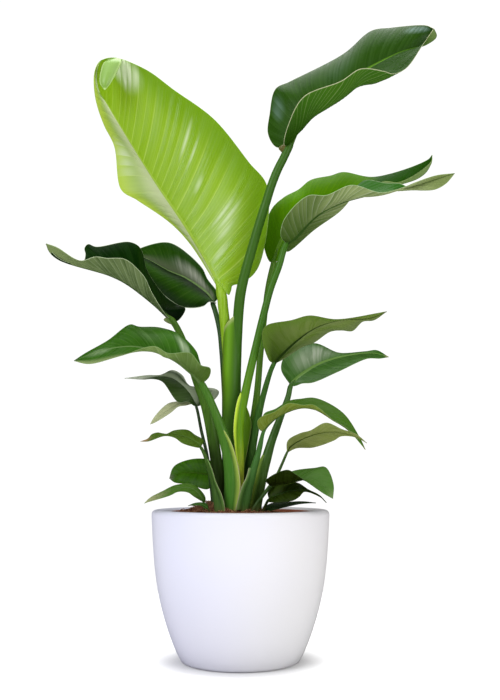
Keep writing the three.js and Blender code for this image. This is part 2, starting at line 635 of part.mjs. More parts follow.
/** The stalk, oval at the soil and round at the blade's foot, grown on all sides by extra. */
function stalkSolid(leaf, form, extra) {
  const steps = Math.ceil((form.length * form.footShare) / STALK_STEP);
  const count = Math.max(FEWEST_STALK_STEPS, steps);
  const shares = Array.from({ length: count + 1 }, (_, i) => (form.footShare * i) / count);
  shares.push(form.bladeShare(STALK_END));
  const rootShare = ROOT_DEPTH / form.length;
  const wide = new THREE.Vector3(1, 0, 0);
  const rings = shares.map((share) => {
    const centre = form.spine.getPointAt(share);
    const ahead = form.spine.getTangentAt(share);
    wide.addScaledVector(ahead, -wide.dot(ahead)).normalize();
    const deep = new THREE.Vector3().crossVectors(ahead, wide);
    const onStalk = (share - rootShare) / (form.footShare - rootShare);
    const onBlade = Math.max(0, (share - form.footShare) / (1 - form.footShare));
    const girth = onBlade > 0 ? midribRadius(leaf, onBlade) : along(leaf.girth, onStalk);
    const flat = THREE.MathUtils.lerp(OVAL, 1, THREE.MathUtils.clamp(onStalk, 0, 1));
    const radius = girth + extra;
    return Array.from({ length: leaf.sides }, (_, k) => {
      const turn = ((k + 0.5) / leaf.sides) * 2 * Math.PI;
      return centre.clone()
        .addScaledVector(wide, radius * Math.cos(turn))
        .addScaledVector(deep, radius * flat * Math.sin(turn));
    });
  });
  rings[0].forEach((point) => point.setZ(point.z - extra));
  return toSolid(lofted(rings));
}

/** One whole leaf: its stalk and its blade, joined. */
function leafSolid(leaf) {
  const form = leafForm(leaf);
  return stalkSolid(leaf, form, 0).add(blade(leaf, form));
}

// ---- the whole

const plant = new THREE.Group();
plant.add(toMesh('planter', planter(), PLANTER_FINISH));
plant.add(toMesh('grower_pot', growerPot(), GROWER_FINISH));

const socket = (leaf) => stalkSolid(leaf, leafForm(leaf), GAP);
plant.add(toMesh('soil', soil(LEAVES.map(socket)), SOIL_FINISH));

// the youngest leaf grows up inside the tall leaf's sheath
const [youngest, sheath] = LEAVES;
const bore = stalkSolid(youngest, leafForm(youngest), SHEATH_CLEARANCE);
LEAVES.forEach((leaf) => {
  const solid = leaf === sheath ? leafSolid(leaf).subtract(bore) : leafSolid(leaf);
  plant.add(toMesh(leaf.name, solid, { color: leaf.colour, roughness: LEAF_ROUGHNESS }));
});

export default plant;
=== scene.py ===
"""Looks of a potted bird of paradise: paddle leaves on long stalks, coir soil, a brown grower pot
and a white planter with a rolled rim. Metres, +Z up, the planter's foot centred at the origin,
front at -Y. Plant and pot dimensions are written in millimetres and multiplied by MM. Colours of
surfaces are display values of 0 to 255.
"""
import math

import bpy
import numpy as np
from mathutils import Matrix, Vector


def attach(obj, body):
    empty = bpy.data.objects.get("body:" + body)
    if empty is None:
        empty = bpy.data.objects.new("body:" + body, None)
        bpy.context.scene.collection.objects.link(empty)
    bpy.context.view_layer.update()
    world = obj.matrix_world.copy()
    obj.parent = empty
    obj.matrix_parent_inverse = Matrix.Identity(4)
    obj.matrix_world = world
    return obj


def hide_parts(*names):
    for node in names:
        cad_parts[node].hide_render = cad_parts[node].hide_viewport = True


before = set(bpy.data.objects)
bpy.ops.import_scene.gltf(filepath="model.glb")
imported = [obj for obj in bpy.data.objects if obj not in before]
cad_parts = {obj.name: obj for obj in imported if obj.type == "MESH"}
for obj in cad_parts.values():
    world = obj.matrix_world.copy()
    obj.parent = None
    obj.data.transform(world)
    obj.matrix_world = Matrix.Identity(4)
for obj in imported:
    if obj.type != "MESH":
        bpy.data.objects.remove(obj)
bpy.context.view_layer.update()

MM = 0.001
SEED = 7

# ---- planter, grower pot and soil
PLANTER_HEIGHT = 248
RIM_RADIUS = 150
FOOT_RADIUS = 92
WALL = 5
LIP_WIDTH = 28
LIP_THICKNESS = 4
SKIRT_DEPTH = 22
LIP_ROUND = 7
BOWL = [(99, 3), (107, 18), (120, 50), (134.5, 99), (143, 148), (147.5, 197), (150, 238)]
BOWL_POINTS = 60
INSIDE_LOW = 15
ARC_POINTS = 10
AROUND = 192
# The planter's white, painted bluer on the left as a painted cool light and darker towards the foot as a
# painted shade; rows low and high, each from left to right. The reach and the low and high heights set where
# these painted shades change.
PLANTER_PAINTED_SHADING = [[(200, 200, 216), (207, 206, 207)], [(225, 226, 243), (232, 230, 231)]]
PAINTED_COOL_REACH = 130
PAINTED_SHADE_LOW = 20
PAINTED_LIGHT_HIGH = 230
GLAZE_GRAIN = 350
GAP = 0.3
GROWER_RIM_HEIGHT = 245
GROWER_RIM_RADIUS = 119.5
GROWER_RIM_DEPTH = 12
GROWER_TOP_RADIUS = 117
GROWER_FOOT_RADIUS = 88
GROWER_WALL = 2
CHAMFER = 1
GROWER_COLOURS = [(150, 84, 54), (176, 102, 70)]
SOIL_LEVEL = 236
SOIL_RINGS = 150
SOIL_SIDES = 420
INNERMOST_RING = 0.004
SOIL_SINK = 0.3
SOIL_STAIN = 262
STAIN_COLOUR = (88, 70, 40)
MOUND = {"x": -28, "y": 8, "height": 20, "spread": 55}
HEAP = {"x": -52, "y": -14, "height": 12, "spread": 15}
SOIL_LUMPS = 1.6
LUMP_WAVES = {"x": 0.19, "y": 0.23, "slant_x": 0.11, "slant_y": 0.18, "phase": 1.3}
CRUMB_WAVES = 12
CRUMB_HEIGHT = 0.9
CRUMB_FREE = 6
CRUMB_COLOURS = [(58, 32, 20), (128, 78, 52)]
FIBRES = 2200
FIBRE_STEPS = 6
FIBRE_SIDES = 3
FIBRE_FREE = 4
FIBRE_SINK = 0.4
STRAND_COLOURS = [(112, 68, 44), (200, 152, 112)]

# ---- leaves
ROOT_DEPTH = 40
OVAL = 0.8
VEIN_LEAN = 0.5
MIDRIB_TIP_RADIUS = 0.5
WIDEST_MIDRIB = 0.3
WIDEST_EDGE = 0.2
BOW = [[0.05, 0.05, 0], [0.05, 0.05, 0]]
PLEAT = 0.35
VEIN_GAP = 9
VEIN_SWEEP = (0.08, 0.08)
EDGE_WIDTH = 0.9
EDGE_THINNING = 0.4
RIB_DEPTH = 0.9
RIB_GROOVE = 0.25
BLADE_ENDS = (0.004, 0.996)
BLADE_ROWS = (40, 380)
UNDER_BLADE = 0.06
STALK_THINNING = 0.8
STALK_ROWS = 12
WING_ROWS = 60
WING_COLUMNS = 14
WING_HALF = 0.6
WING_BOW = 0.25
LINE_SAMPLES = 300
LIT_LINE = 0.45
LIT_WIDTH = 0.5
BROWN_LINE = 0.45
BROWN_SHARE = 0.6
MOUTH_ROUND = 0.35
CURL_BOW = 0.25
ARC_STEPS = 40
ROW_STEP = 1.6
STALK_STEP = 4
STALK_SIDES = 40
RIB_COLUMNS = 5
WEB_COLUMNS = 22
BLADE_THICKNESS = 0.8
LANE_WAVES = [(0.3, 0.9, 2), (0.15, 2.3, 1)]
PLEAT_SWING = 0.3
PLEAT_START = (0.04, 0.3)
PLEAT_END = (0.85, 1)
PILLOW_ROUND = 0.6
PILLOW_LEVEL = 0.7
CURL_SHARE = 0.008
CURL_END = 0.985

# ---- shades of the leaves, as shares of a blade's length or width
CALM_TIP = (0.78, 0.93, 1, 0.15)
STREAK_SPAN = (0.38, 0.62)
FOOT_TINT = 0.9
HALF_BLEND = 0.02
HALF_TINT = 0.85
NEAR_FROM = 0.05
FAR_SPAN = (0.5, 0.95)
RIB_SPAN = (0.1, 0.45)
RIB_UNDER_SPAN = (0.05, 0.4)
MARGIN_SPAN = (0.35, 0.9)
THREADS = 5
THREAD_TINT = 0.12
BLADE_ROUGHNESS = (0.24, 0.4)
SKIN_GRAIN = 900
SKIN_BUMP = 0.00012
FIBRE_GRAIN = 420

# ---- camera, floor and lights, in metres and degrees
IMAGE_HEIGHT = 700
FOCAL_PIXELS = 931
SENSOR = 36
CAMERA_PLACE = (0.016, -1.6, 0.315)
CAMERA_PITCH = 7.33
FLOOR_RADIUS = 0.9
FLOOR_SIDES = 96
WHITE = (255, 255, 255)
FLOOR_PAPER = [(232, 232, 232), (242, 242, 242)]
# The floor's glow, a painted light: 0.09 within 0.1 m of the centre, rising to 0.72 beyond 0.175 m. It washes
# out cast shadows away from the planter and leaves a darker ring round its foot.
FLOOR_GLOW = (0.1, 0.175, 0.09, 0.72)
RAY_LEVELS = {"Is Camera Ray": 1.05, "Is Diffuse Ray": 0.32, "Is Glossy Ray": 0.03}
# name, place, aim, size, power and linear colour
SOFT_BOXES = [
    ("key_box", (-1.6, -2.0, 1.8), (0, 0, 0.5), 1.5, 40, (0.95, 0.96, 1.0)),
    ("fill_box", (1.8, -1.9, 1.1), (0, 0, 0.4), 1.5, 23, (1.0, 0.99, 0.97)),
    ("top_box", (0.1, 0.2, 2.6), (0, 0, 0.5), 1.8, 34, (1.0, 1.0, 1.0)),
]

# What a leaf looks like where its own look says nothing. upper and under are a side's base, its
# streaks and its side veins, stalk is its low and its high end, and stalk_foot a tint and how far up
# it reaches. foot and tip tint a side's ends, near and far its left and right half by the midrib and
# by the margin; on some leaves these tints are painted sheen and highlights. flank is how much each
# panel between side veins is painted lighter next to one vein and darker towards the next, a painted
# shading of the pleats. A shine is a painted highlight: its place along the veins and across, its
# length, width and strength, coloured by shine_tone. sheath is a pale wing's colour, and on
# leaf_tall_right a painted lit band down its tube; the sheath's dark colour is a real brown on
# leaf_tall_right and a painted shade on leaf_right_front's right wing.
LOOK = {
    "near": (None, None), "near_width": 0.6, "far": (None, None), "foot": None, "tip": None,
    "under_near": (None, None), "under_far": (None, None), "under_foot": None, "under_tip": None,
    "foot_to": 0.3, "tip_span": (0.8, 1), "shine": [], "stalk_foot": None, "flank": 0.3,
    "line_width": 0.3, "vein_strength": 0.45, "gloss": 0.1, "rib": (110, 150, 66), "rib_under": (78, 118, 44),
    "sheath": (104, 140, 52), "sheath_edge": (196, 200, 150), "sheath_brown_and_shade": (44, 76, 14),
}

# Each leaf is one grown piece, in mm: its stalk from the soil to the blade's foot, its midrib from
# there to the tip, and its left and right margins from foot to tip, as they lie when the upper
# side is seen. girth is the stalk's half width from soil to foot, and bow how far each half arches
# above (+) or hangs below (-) the line from midrib to margin, as a share of its width. wings are the
# free margins of its sheath.
LEAVES = {}
LEAVES["leaf_lime_upright"] = dict(
    slot="leaf_lime", pleat=1.5, vein_gap=19, sweep=(-0.04, 0.15), girth=[6, 6, 6, 6, 7, 9, 9],
    bow=[[0, -0.05, 0], [0.06, 0.05, 0]],
    stalk=[[-8, 11, 237], [-13, 10, 315], [-20, 10, 400], [-24, 10, 487], [-26, 10, 549], [-31, 9, 596],
        [-35, 10, 623]],
    midrib=[[-92, 32, 734], [-168, 38, 851], [-243, 24, 973], [-258, 12, 997], [-259, -4, 1024],
        [-252, -15, 1041]],
    left=[[-93, 54, 722], [-132, 78, 768], [-197, 104, 819], [-228, 108, 841], [-240, 92, 920],
        [-257, 72, 954], [-267, 40, 986], [-266, 4, 1010], [-263, -8, 1022], [-258, -12, 1034]],
    right=[[-29, 9, 630], [-24, 6, 622], [-21, 5, 618], [-17, 7, 627], [-15, 10, 636], [-4, 13, 640],
        [21, 16, 656], [37, 14, 687], [47, 10, 816], [14, 12, 862], [-49, 11, 942], [-123, 5, 996],
        [-164, -3, 1025], [-195, -11, 1038], [-220, -14, 1046], [-237, -15, 1046]],
    curl=dict(left=[[-230, -16, 1043], [-243, -26, 1032], [-248, -31, 1012], [-248, -35, 990],
        [-239, -36, 976]], right=[[-214, -16, 1043], [-213, -26, 1030], [-220, -31, 1010], [-229, -35, 990],
        [-239, -36, 976]]),
    # Painted light on this leaf: tip, over the curled tip, is a painted highlight; near, on the left half by
    # the midrib, is a painted sheen; the shines are painted glossy streaks.
    look=dict(upper=[(132, 176, 6), (146, 188, 18), (188, 218, 92)],
        under=[(118, 164, 20), (134, 178, 36), (150, 196, 84)],
        rib=(168, 204, 72), rib_under=(140, 188, 56), margin=(206, 240, 150), stalk=[(112, 156, 16),
        (134, 178, 24)], tip=(206, 240, 190), under_tip=(160, 200, 108), tip_span=(0.985, 1),
        near=((226, 238, 186), None), near_width=0.95, far=((198, 226, 84), (112, 160, 6)),
        vein_strength=0.8, line_width=0.16, flank=0.55, gloss=0.35, shine_tone=(226, 242, 196),
        shine=[[0.735, 0.78, 0.11, 0.36, 3], [0.57, -0.75, 0.14, 0.35, 0.8],
        [0.377, 0.55, 0.009, 0.26, 1.5], [0.432, 0.6, 0.013, 0.3, 0.8], [0.33, 0.4, 0.01, 0.14, 0.8],
        [0.215, 0.45, 0.018, 0.24, 0.9], [0.178, 0.5, 0.018, 0.24, 0.9], [0.145, 0.42, 0.016, 0.22, 0.9],
        [0.105, 0.3, 0.018, 0.25, 1.1], [0.18, 0.45, 0.1, 0.3, 0.35]]))
LEAVES["leaf_tall_right"] = dict(
    pleat=0.6, vein_gap=8, edge_width=1.4, sweep=(0.08, 0.34), girth=[11, 10, 9, 8.5, 9, 9, 8.5, 8, 7.5, 7],
    bow=[[0.05, 0.08, 0.1, 0.1, 0.1], [-0.3, -0.36, -0.42, -0.39, -0.34, -0.12, -0.04, -0.03, -0.02]],
    stalk=[[-8, 12, 237], [-8, 13, 315], [-8, 11, 400], [-8, 7, 487], [-6, 2, 556], [-1, -7, 615],
        [7, -12, 652], [19, -18, 694], [31, -24, 735], [44, -29, 776], [53, -33, 804], [64, -35, 832],
        [74, -36, 852], [85, -36, 876]],
    midrib=[[98, -36, 907], [121, -36, 938], [175, -42, 984], [273, -58, 1034], [322, -71, 1045],
        [336, -82, 1053], [330, -92, 1063]],
    left=[[63, -22, 877], [48, -8, 907], [51, -2, 945], [62, 0, 994], [88, 0, 1008], [185, -6, 1058],
        [233, -18, 1095], [267, -28, 1096], [319, -66, 1082]],
    right=[[75, -46, 873], [82, -82, 899], [106, -99, 938], [170, -97, 967], [204, -96, 989],
        [242, -102, 982], [257, -105, 976], [278, -108, 984], [309, -103, 1029]],
    wings=[dict(edge=[[80, -36, 880], [71, -37, 875], [66, -38, 870], [69, -38, 865], [77, -37, 859]],
        brown_and_shade=1)],
    tube=dict(line=[[-16, 10, 237, 15, 11], [-16.5, 10, 400, 15.5, 11.5], [-16.5, 8, 487, 15.5, 12],
        [-14, 7, 556, 16.5, 11.5], [-11, 4, 600, 15, 10], [-6, 0, 640, 12, 8]], low=544, rise=45),
    look=dict(upper=[(38, 74, 10), (48, 86, 18), (62, 98, 34)],
        under=[(60, 112, 2), (50, 104, 2), (160, 186, 116)],
        rib=(100, 150, 40), rib_under=(90, 124, 50), margin=(204, 208, 164), stalk=[(58, 110, 6),
        (66, 110, 32)], under_foot=(36, 74, 2), under_tip=(122, 146, 84), vein_strength=0.5, flank=0.4,
        # sheath here colours the tube's lit band, a painted light; the sheath's dark colour is a real brown;
        # the shines are painted highlights.
        gloss=0.07, stalk_foot=((34, 76, 2), 0.3), sheath=(108, 160, 16), sheath_edge=(168, 184, 112),
        sheath_brown_and_shade=(96, 92, 44), shine_tone=(132, 160, 150), shine=[[0.11, -0.74, 0.05, 0.3, 0.4],
        [0.79, -0.75, 0.12, 0.24, 0.9], [0.4, -0.4, 0.12, 0.5, 0.08]]))
LEAVES["leaf_right_front"] = dict(
    pleat=0.7, edge_width=1.3, girth=[8, 9, 8, 7, 6.5, 6, 5.5],
    bow=[[0.02, 0.05, -0.1, 0], [-0.05, -0.08, -0.1, -0.05]],
    stalk=[[-4, -9, 238], [-3, -11, 321], [-1, -13, 396], [9, -15, 450], [25, -16, 520], [38, -18, 574],
        [51, -20, 623], [66, -22, 664], [79, -24, 703]],
    midrib=[[92, -33, 711], [129, -53, 745], [168, -72, 762], [242, -107, 772], [288, -123, 777],
        [348, -143, 791]],
    left=[[81, -12, 692], [130, -3, 734], [173, -20, 762], [189, -34, 778], [209, -56, 805], [246, -83, 793],
        [266, -102, 786], [284, -116, 772], [300, -126, 767], [318, -132, 767], [334, -138, 775]],
    right=[[68, -56, 711], [75, -86, 733], [111, -110, 763], [141, -120, 761], [181, -133, 774],
        [228, -138, 760], [262, -138, 768], [286, -138, 778], [318, -141, 788]],
    wings=[dict(edge=[[4, -14, 452], [-4, -18, 436], [-9, -20, 415], [-12, -22, 382], [-11, -22, 365],
        [-8, -22, 340], [-2, -22, 315], [1, -22, 286], [-1, -22, 245]]), dict(edge=[[6, -8, 440],
        [10, -6, 422], [15, -5, 408], [18, -5, 391], [16, -5, 373], [12, -6, 352], [8, -4, 332],
        [5, -2, 318], [-1, 0, 303]], brown_and_shade=1)],
    look=dict(upper=[(42, 106, 8), (52, 108, 22), (80, 132, 60)],
        under=[(166, 182, 118), (112, 134, 68), (206, 216, 182)],
        rib=(96, 140, 60), rib_under=(56, 88, 30), margin=(178, 200, 150), stalk=[(132, 180, 1),
        (66, 114, 22)], tip=(44, 92, 30), under_foot=(52, 86, 1), under_tip=(128, 146, 84), foot_to=0.5,
        # stalk_foot paints a bright lit yellow-green at the foot of the stalk, a painted light; the sheath's
        # dark colour on the right wing is a painted shade.
        tip_span=(0.7, 0.9), vein_strength=0.7, flank=0.5, gloss=0.06, stalk_foot=((250, 255, 90), 0.3),
        sheath=(206, 234, 62), sheath_edge=(206, 216, 140), sheath_brown_and_shade=(78, 118, 10)))
LEAVES["leaf_right_back"] = dict(
    slot="leaf_bright", edge_width=1.3, girth=[6, 6, 6, 5.5, 5, 5],
    bow=[[0.05, 0.1, 0.05, 0], [-0.05, -0.05, -0.1, -0.1]],
    stalk=[[4, 32, 236], [11, 30, 321], [19, 28, 384], [28, 27, 445], [35, 27, 524], [41, 28, 578],
        [48, 31, 636], [59, 36, 685]],
    midrib=[[70, 40, 720], [94, 48, 761], [148, 62, 807], [234, 82, 830], [334, 105, 862], [356, 111, 884],
        [364, 115, 912]],
    left=[[52, 38, 685], [40, 48, 728], [55, 60, 788], [79, 68, 814], [106, 76, 831], [129, 82, 851],
        [168, 92, 863], [191, 96, 871], [251, 106, 865], [356, 117, 903]],
    right=[[64, 26, 684], [109, 24, 731], [146, 39, 774], [233, 64, 826], [265, 74, 846], [296, 84, 848],
        [360, 109, 896]],
    look=dict(upper=[(88, 142, 1), (78, 132, 1), (112, 158, 22)],
        under=[(126, 152, 90), (106, 136, 66), (146, 170, 116)],
        rib=(110, 156, 50), margin=(150, 180, 100), stalk=[(62, 104, 16), (76, 118, 34)], foot=(74, 122, 1),
        tip=(36, 84, 1), tip_span=(0.54, 0.66), gloss=0.04))
LEAVES["leaf_mid_right_upper"] = dict(
    girth=[7, 7.5, 7.5, 6.5, 5, 4],
    bow=[[0.06, 0.08, 0.05], [0.05, -0.05, 0]],
    stalk=[[11, 16, 237], [13, 13, 298], [25, 3, 383], [49, -12, 476], [57, -16, 495]],
    midrib=[[65, -21, 505], [119, -66, 547], [164, -92, 559], [209, -115, 558], [236, -127, 567]],
    left=[[69, -8, 501], [108, -4, 526], [126, -10, 532], [152, -38, 547], [170, -54, 547], [186, -66, 544],
        [201, -98, 555], [217, -112, 555]],
    right=[[48, -28, 500], [36, -68, 541], [44, -78, 552], [84, -101, 557], [112, -110, 563],
        [156, -116, 556]],
    look=dict(upper=[(60, 100, 34), (70, 112, 42), (90, 128, 60)],
        under=[(98, 122, 44), (114, 134, 64), (114, 132, 72)],
        rib_under=(34, 56, 10), margin=(110, 128, 70), stalk=[(36, 66, 16), (52, 96, 30)],
        under_foot=(46, 72, 6), under_tip=(146, 130, 92), foot_to=0.4, tip_span=(0.95, 1),
        under_near=((118, 134, 76), None), under_far=((110, 126, 76), (94, 124, 42)),
        stalk_foot=((14, 30, 2), 0.55)))
LEAVES["leaf_mid_right_lower"] = dict(
    edge_width=1.3, girth=[8.5, 9, 8.5, 7, 5.5, 4.5],
    bow=[[0.05, 0.08, 0.05], [-0.05, -0.18, -0.1]],
    stalk=[[26, 0, 237], [30, 0, 272], [50, 4, 354], [82, 13, 440], [87, 17, 460]],
    midrib=[[96, 22, 472], [137, 52, 502], [194, 85, 522], [247, 110, 529], [275, 121, 523]],
    left=[[71, 40, 492], [81, 58, 520], [134, 91, 545], [182, 108, 529], [232, 118, 533], [252, 121, 536]],
    right=[[94, 10, 459], [106, 6, 463], [124, 12, 465], [173, 48, 488], [232, 94, 517], [256, 110, 519]],
    wings=[dict(edge=[[37, -3, 340], [29, -8, 324], [25, -12, 306], [20, -12, 286], [15, -11, 264],
        [13, -10, 248]])],
    look=dict(upper=[(52, 96, 26), (68, 112, 40), (94, 126, 70)],
        under=[(124, 146, 98), (104, 128, 76), (150, 168, 124)],
        rib=(110, 148, 70), margin=(140, 164, 110), stalk=[(66, 98, 22), (60, 100, 34)], tip=(172, 158, 124),
        tip_span=(0.93, 1), sheath=(112, 140, 40), sheath_edge=(200, 204, 140),
        # The shine is a painted sheen.
        shine_tone=(172, 180, 160), shine=[[0.3, -0.4, 0.26, 0.6, 0.85]]))
LEAVES["leaf_right_arch"] = dict(
    vein_gap=5, edge_width=1.2, girth=[10, 10, 8, 6, 4.5, 3],
    bow=[[0, 0.05, 0], [-0.05, -0.1, 0]],
    stalk=[[4, -29, 239], [8, -30, 268], [30, -35, 343], [39, -38, 379]],
    midrib=[[46, -42, 389], [66, -50, 405], [104, -62, 417], [138, -68, 408], [152, -71, 397],
        [183, -75, 376], [204, -78, 347]],
    left=[[36, -30, 393], [40, -27, 409], [59, -30, 417], [81, -36, 430], [101, -42, 433], [126, -44, 434],
        [170, -54, 409], [196, -69, 367]],
    right=[[33, -42, 380], [28, -54, 394], [35, -60, 402], [55, -68, 409], [79, -76, 423], [103, -79, 420],
        [120, -81, 420], [153, -83, 394], [171, -81, 384]],
    wings=[dict(edge=[[14, -38, 318], [9, -43, 301], [3, -45, 289], [-3, -45, 270], [-8, -44, 249]])],
    look=dict(upper=[(74, 116, 26), (78, 116, 38), (84, 130, 66)],
        under=[(112, 130, 38), (124, 142, 58), (136, 156, 84)],
        rib=(90, 130, 60), rib_under=(70, 98, 36), margin=(130, 156, 90), stalk=[(58, 96, 34),
        (62, 108, 44)], tip=(150, 132, 88), tip_span=(0.93, 1), sheath=(104, 138, 70),
        sheath_edge=(200, 186, 160)))
LEAVES["leaf_right_low"] = dict(
    vein_gap=5, girth=[3.5, 3, 2.5, 2.2],
    bow=[[0.08, 0.08, 0], [0.03, 0, 0]],
    stalk=[[26, -20, 238], [31, -20, 261], [59, -21, 302], [78, -24, 343]],
    midrib=[[83, -26, 353], [110, -44, 369], [151, -72, 377], [187, -97, 368], [203, -108, 357]],
    left=[[95, -15, 351], [122, -26, 352], [155, -57, 363], [165, -74, 369], [185, -93, 367]],
    right=[[79, -38, 363], [99, -54, 375], [115, -64, 379], [140, -80, 391], [165, -91, 380],
        [186, -101, 372]],
    look=dict(upper=[(70, 106, 40), (80, 116, 48), (98, 130, 64)],
        under=[(136, 148, 80), (118, 132, 60), (154, 164, 106)],
        rib_under=(66, 82, 26), margin=(130, 146, 92), stalk=[(52, 80, 28), (60, 88, 34)],
        tip=(156, 136, 92), under_tip=(156, 136, 92), tip_span=(0.93, 1)))
LEAVES["leaf_right_droop"] = dict(
    vein_gap=5, girth=[3.5, 3, 2.5],
    bow=[[0.05, 0.08, 0], [-0.15, -0.1, 0.05]],
    stalk=[[18, -40, 239], [24, -41, 254], [41, -43, 277], [51, -46, 288]],
    midrib=[[60, -53, 291], [75, -61, 292], [107, -79, 300], [122, -87, 297], [144, -98, 280],
        [148, -102, 269]],
    left=[[56, -40, 296], [84, -42, 312], [122, -64, 318], [139, -76, 319], [150, -94, 291]],
    right=[[42, -54, 297], [76, -88, 315], [88, -95, 309], [132, -105, 278]],
    look=dict(upper=[(72, 114, 40), (80, 118, 50), (80, 114, 56)],
        under=[(22, 34, 2), (34, 50, 6), (42, 60, 10)],
        rib=(90, 126, 60), rib_under=(48, 66, 16), margin=(80, 110, 56), stalk=[(40, 64, 22), (44, 72, 24)],
        tip=(112, 136, 84)))
LEAVES["leaf_right_shade"] = dict(
    slot="leaf_dark", vein_gap=5, girth=[3, 2.5, 2.2],
    bow=[[0.05, 0.08, 0.05], [0.08, 0.05, 0.05]],
    stalk=[[34, -13, 238], [40, -14, 251], [48, -18, 266]],
    midrib=[[61, -24, 273], [94, -44, 282], [125, -67, 276], [140, -76, 262]],
    left=[[46, -12, 277], [62, -12, 292], [94, -33, 294], [112, -50, 283], [130, -67, 273]],
    right=[[45, -24, 262], [85, -48, 264], [97, -55, 271], [105, -60, 279], [131, -74, 270]],
    look=dict(upper=[(36, 54, 3), (50, 70, 10), (60, 80, 20)],
        under=[(28, 42, 3), (38, 56, 8), (52, 70, 22)],
        rib=(50, 80, 26), rib_under=(36, 60, 18), margin=(60, 84, 36), stalk=[(30, 50, 14), (30, 52, 14)],
        tip=(84, 72, 40), under_tip=(84, 72, 40), tip_span=(0.92, 1)))
LEAVES["leaf_right_rim"] = dict(
    slot="leaf_dark", vein_gap=5, girth=[2.5, 2, 1.8],
    bow=[[0.08, 0.08, 0.05], [0.08, 0.05, 0.05]],
    stalk=[[40, 3, 234], [40, 2, 242], [41, 0, 249]],
    midrib=[[52, -2, 253], [103, -14, 260], [127, -20, 260]],
    left=[[45, 6, 255], [55, 9, 259], [86, 1, 261], [105, -9, 262]],
    right=[[45, -10, 246], [80, -22, 254], [100, -21, 258]],
    look=dict(upper=[(18, 40, 3), (28, 54, 8), (40, 68, 16)],
        under=[(20, 38, 8), (28, 48, 12), (38, 60, 20)],
        rib=(48, 76, 28), rib_under=(36, 60, 20), margin=(58, 84, 40), stalk=[(36, 58, 20), (40, 66, 22)]))
LEAVES["leaf_left_front"] = dict(
    slot="leaf_dark", pleat=0.5, edge_width=1.6, girth=[9, 10, 10, 9.5, 8, 6, 5.5],
    bow=[[-0.05, -0.08, -0.05], [0, 0.05, 0.08, 0]],
    stalk=[[-33, 2, 237], [-39, 0, 310], [-52, -3, 393], [-60, -6, 427], [-70, -6, 453], [-92, -10, 516],
        [-104, -17, 546], [-118, -28, 569]],
    midrib=[[-181, -61, 619], [-214, -78, 635], [-293, -124, 652], [-306, -135, 662], [-311, -142, 675]],
    left=[[-126, -40, 575], [-147, -76, 607], [-156, -90, 627], [-162, -98, 635], [-187, -115, 655],
        [-216, -128, 654], [-232, -134, 655], [-256, -142, 647], [-293, -146, 668]],
    right=[[-109, -20, 568], [-96, -7, 593], [-111, -5, 600], [-132, -6, 615], [-162, -17, 657],
        [-173, -32, 694], [-190, -42, 702], [-242, -78, 685], [-254, -84, 688], [-259, -88, 680],
        [-256, -94, 668], [-258, -104, 654], [-276, -120, 648], [-296, -134, 656]],
    wings=[dict(edge=[[-118, -29, 574], [-126, -31, 573], [-131, -32, 569], [-127, -31, 565],
        [-117, -28, 561]])],
    look=dict(upper=[(8, 36, 2), (14, 48, 3), (24, 52, 8)],
        under=[(108, 126, 80), (68, 90, 42), (150, 166, 126)],
        rib=(40, 70, 24), rib_under=(70, 92, 50), margin=(190, 206, 164), stalk=[(70, 106, 34),
        (78, 118, 34)], foot=(2, 14, 1), under_tip=(122, 140, 88), tip_span=(0.5, 0.85),
        vein_strength=0.6, gloss=0.05, stalk_foot=((26, 30, 12), 0.55), sheath=(132, 144, 92)))
LEAVES["leaf_left_back"] = dict(
    slot="leaf_dark", edge_width=2.4, girth=[5.5, 5.5, 5, 4.5],
    bow=[[0.1, 0.12, 0.05], [0.05, 0.08, 0]],
    stalk=[[-19, 38, 235], [-22, 37, 315], [-26, 37, 384], [-29, 38, 455], [-34, 42, 526], [-39, 47, 567],
        [-51, 54, 611]],
    midrib=[[-61, 60, 631], [-100, 78, 663], [-133, 93, 680], [-189, 118, 713], [-223, 130, 714]],
    left=[[-44, 48, 612], [-57, 42, 613], [-68, 38, 604], [-106, 44, 604], [-164, 76, 652], [-190, 98, 682]],
    right=[[-40, 60, 627], [-62, 74, 662], [-73, 82, 685], [-121, 103, 731], [-144, 112, 740],
        [-191, 125, 732]],
    look=dict(upper=[(26, 62, 2), (36, 74, 6), (66, 98, 30)],
        under=[(90, 112, 66), (76, 98, 54), (110, 132, 88)],
        rib=(122, 150, 92), rib_under=(80, 104, 60), margin=(200, 214, 182), stalk=[(46, 74, 36),
        # near on the right half, by the midrib, and the shine are a painted sheen.
        (54, 88, 46)], near=((8, 26, 1), (88, 100, 70)), near_width=0.5, far=((12, 36, 2), (26, 62, 4)),
        vein_strength=0.5, gloss=0.04, shine_tone=(168, 170, 156), shine=[[0.22, 0.35, 0.3, 0.42, 0.9]]))
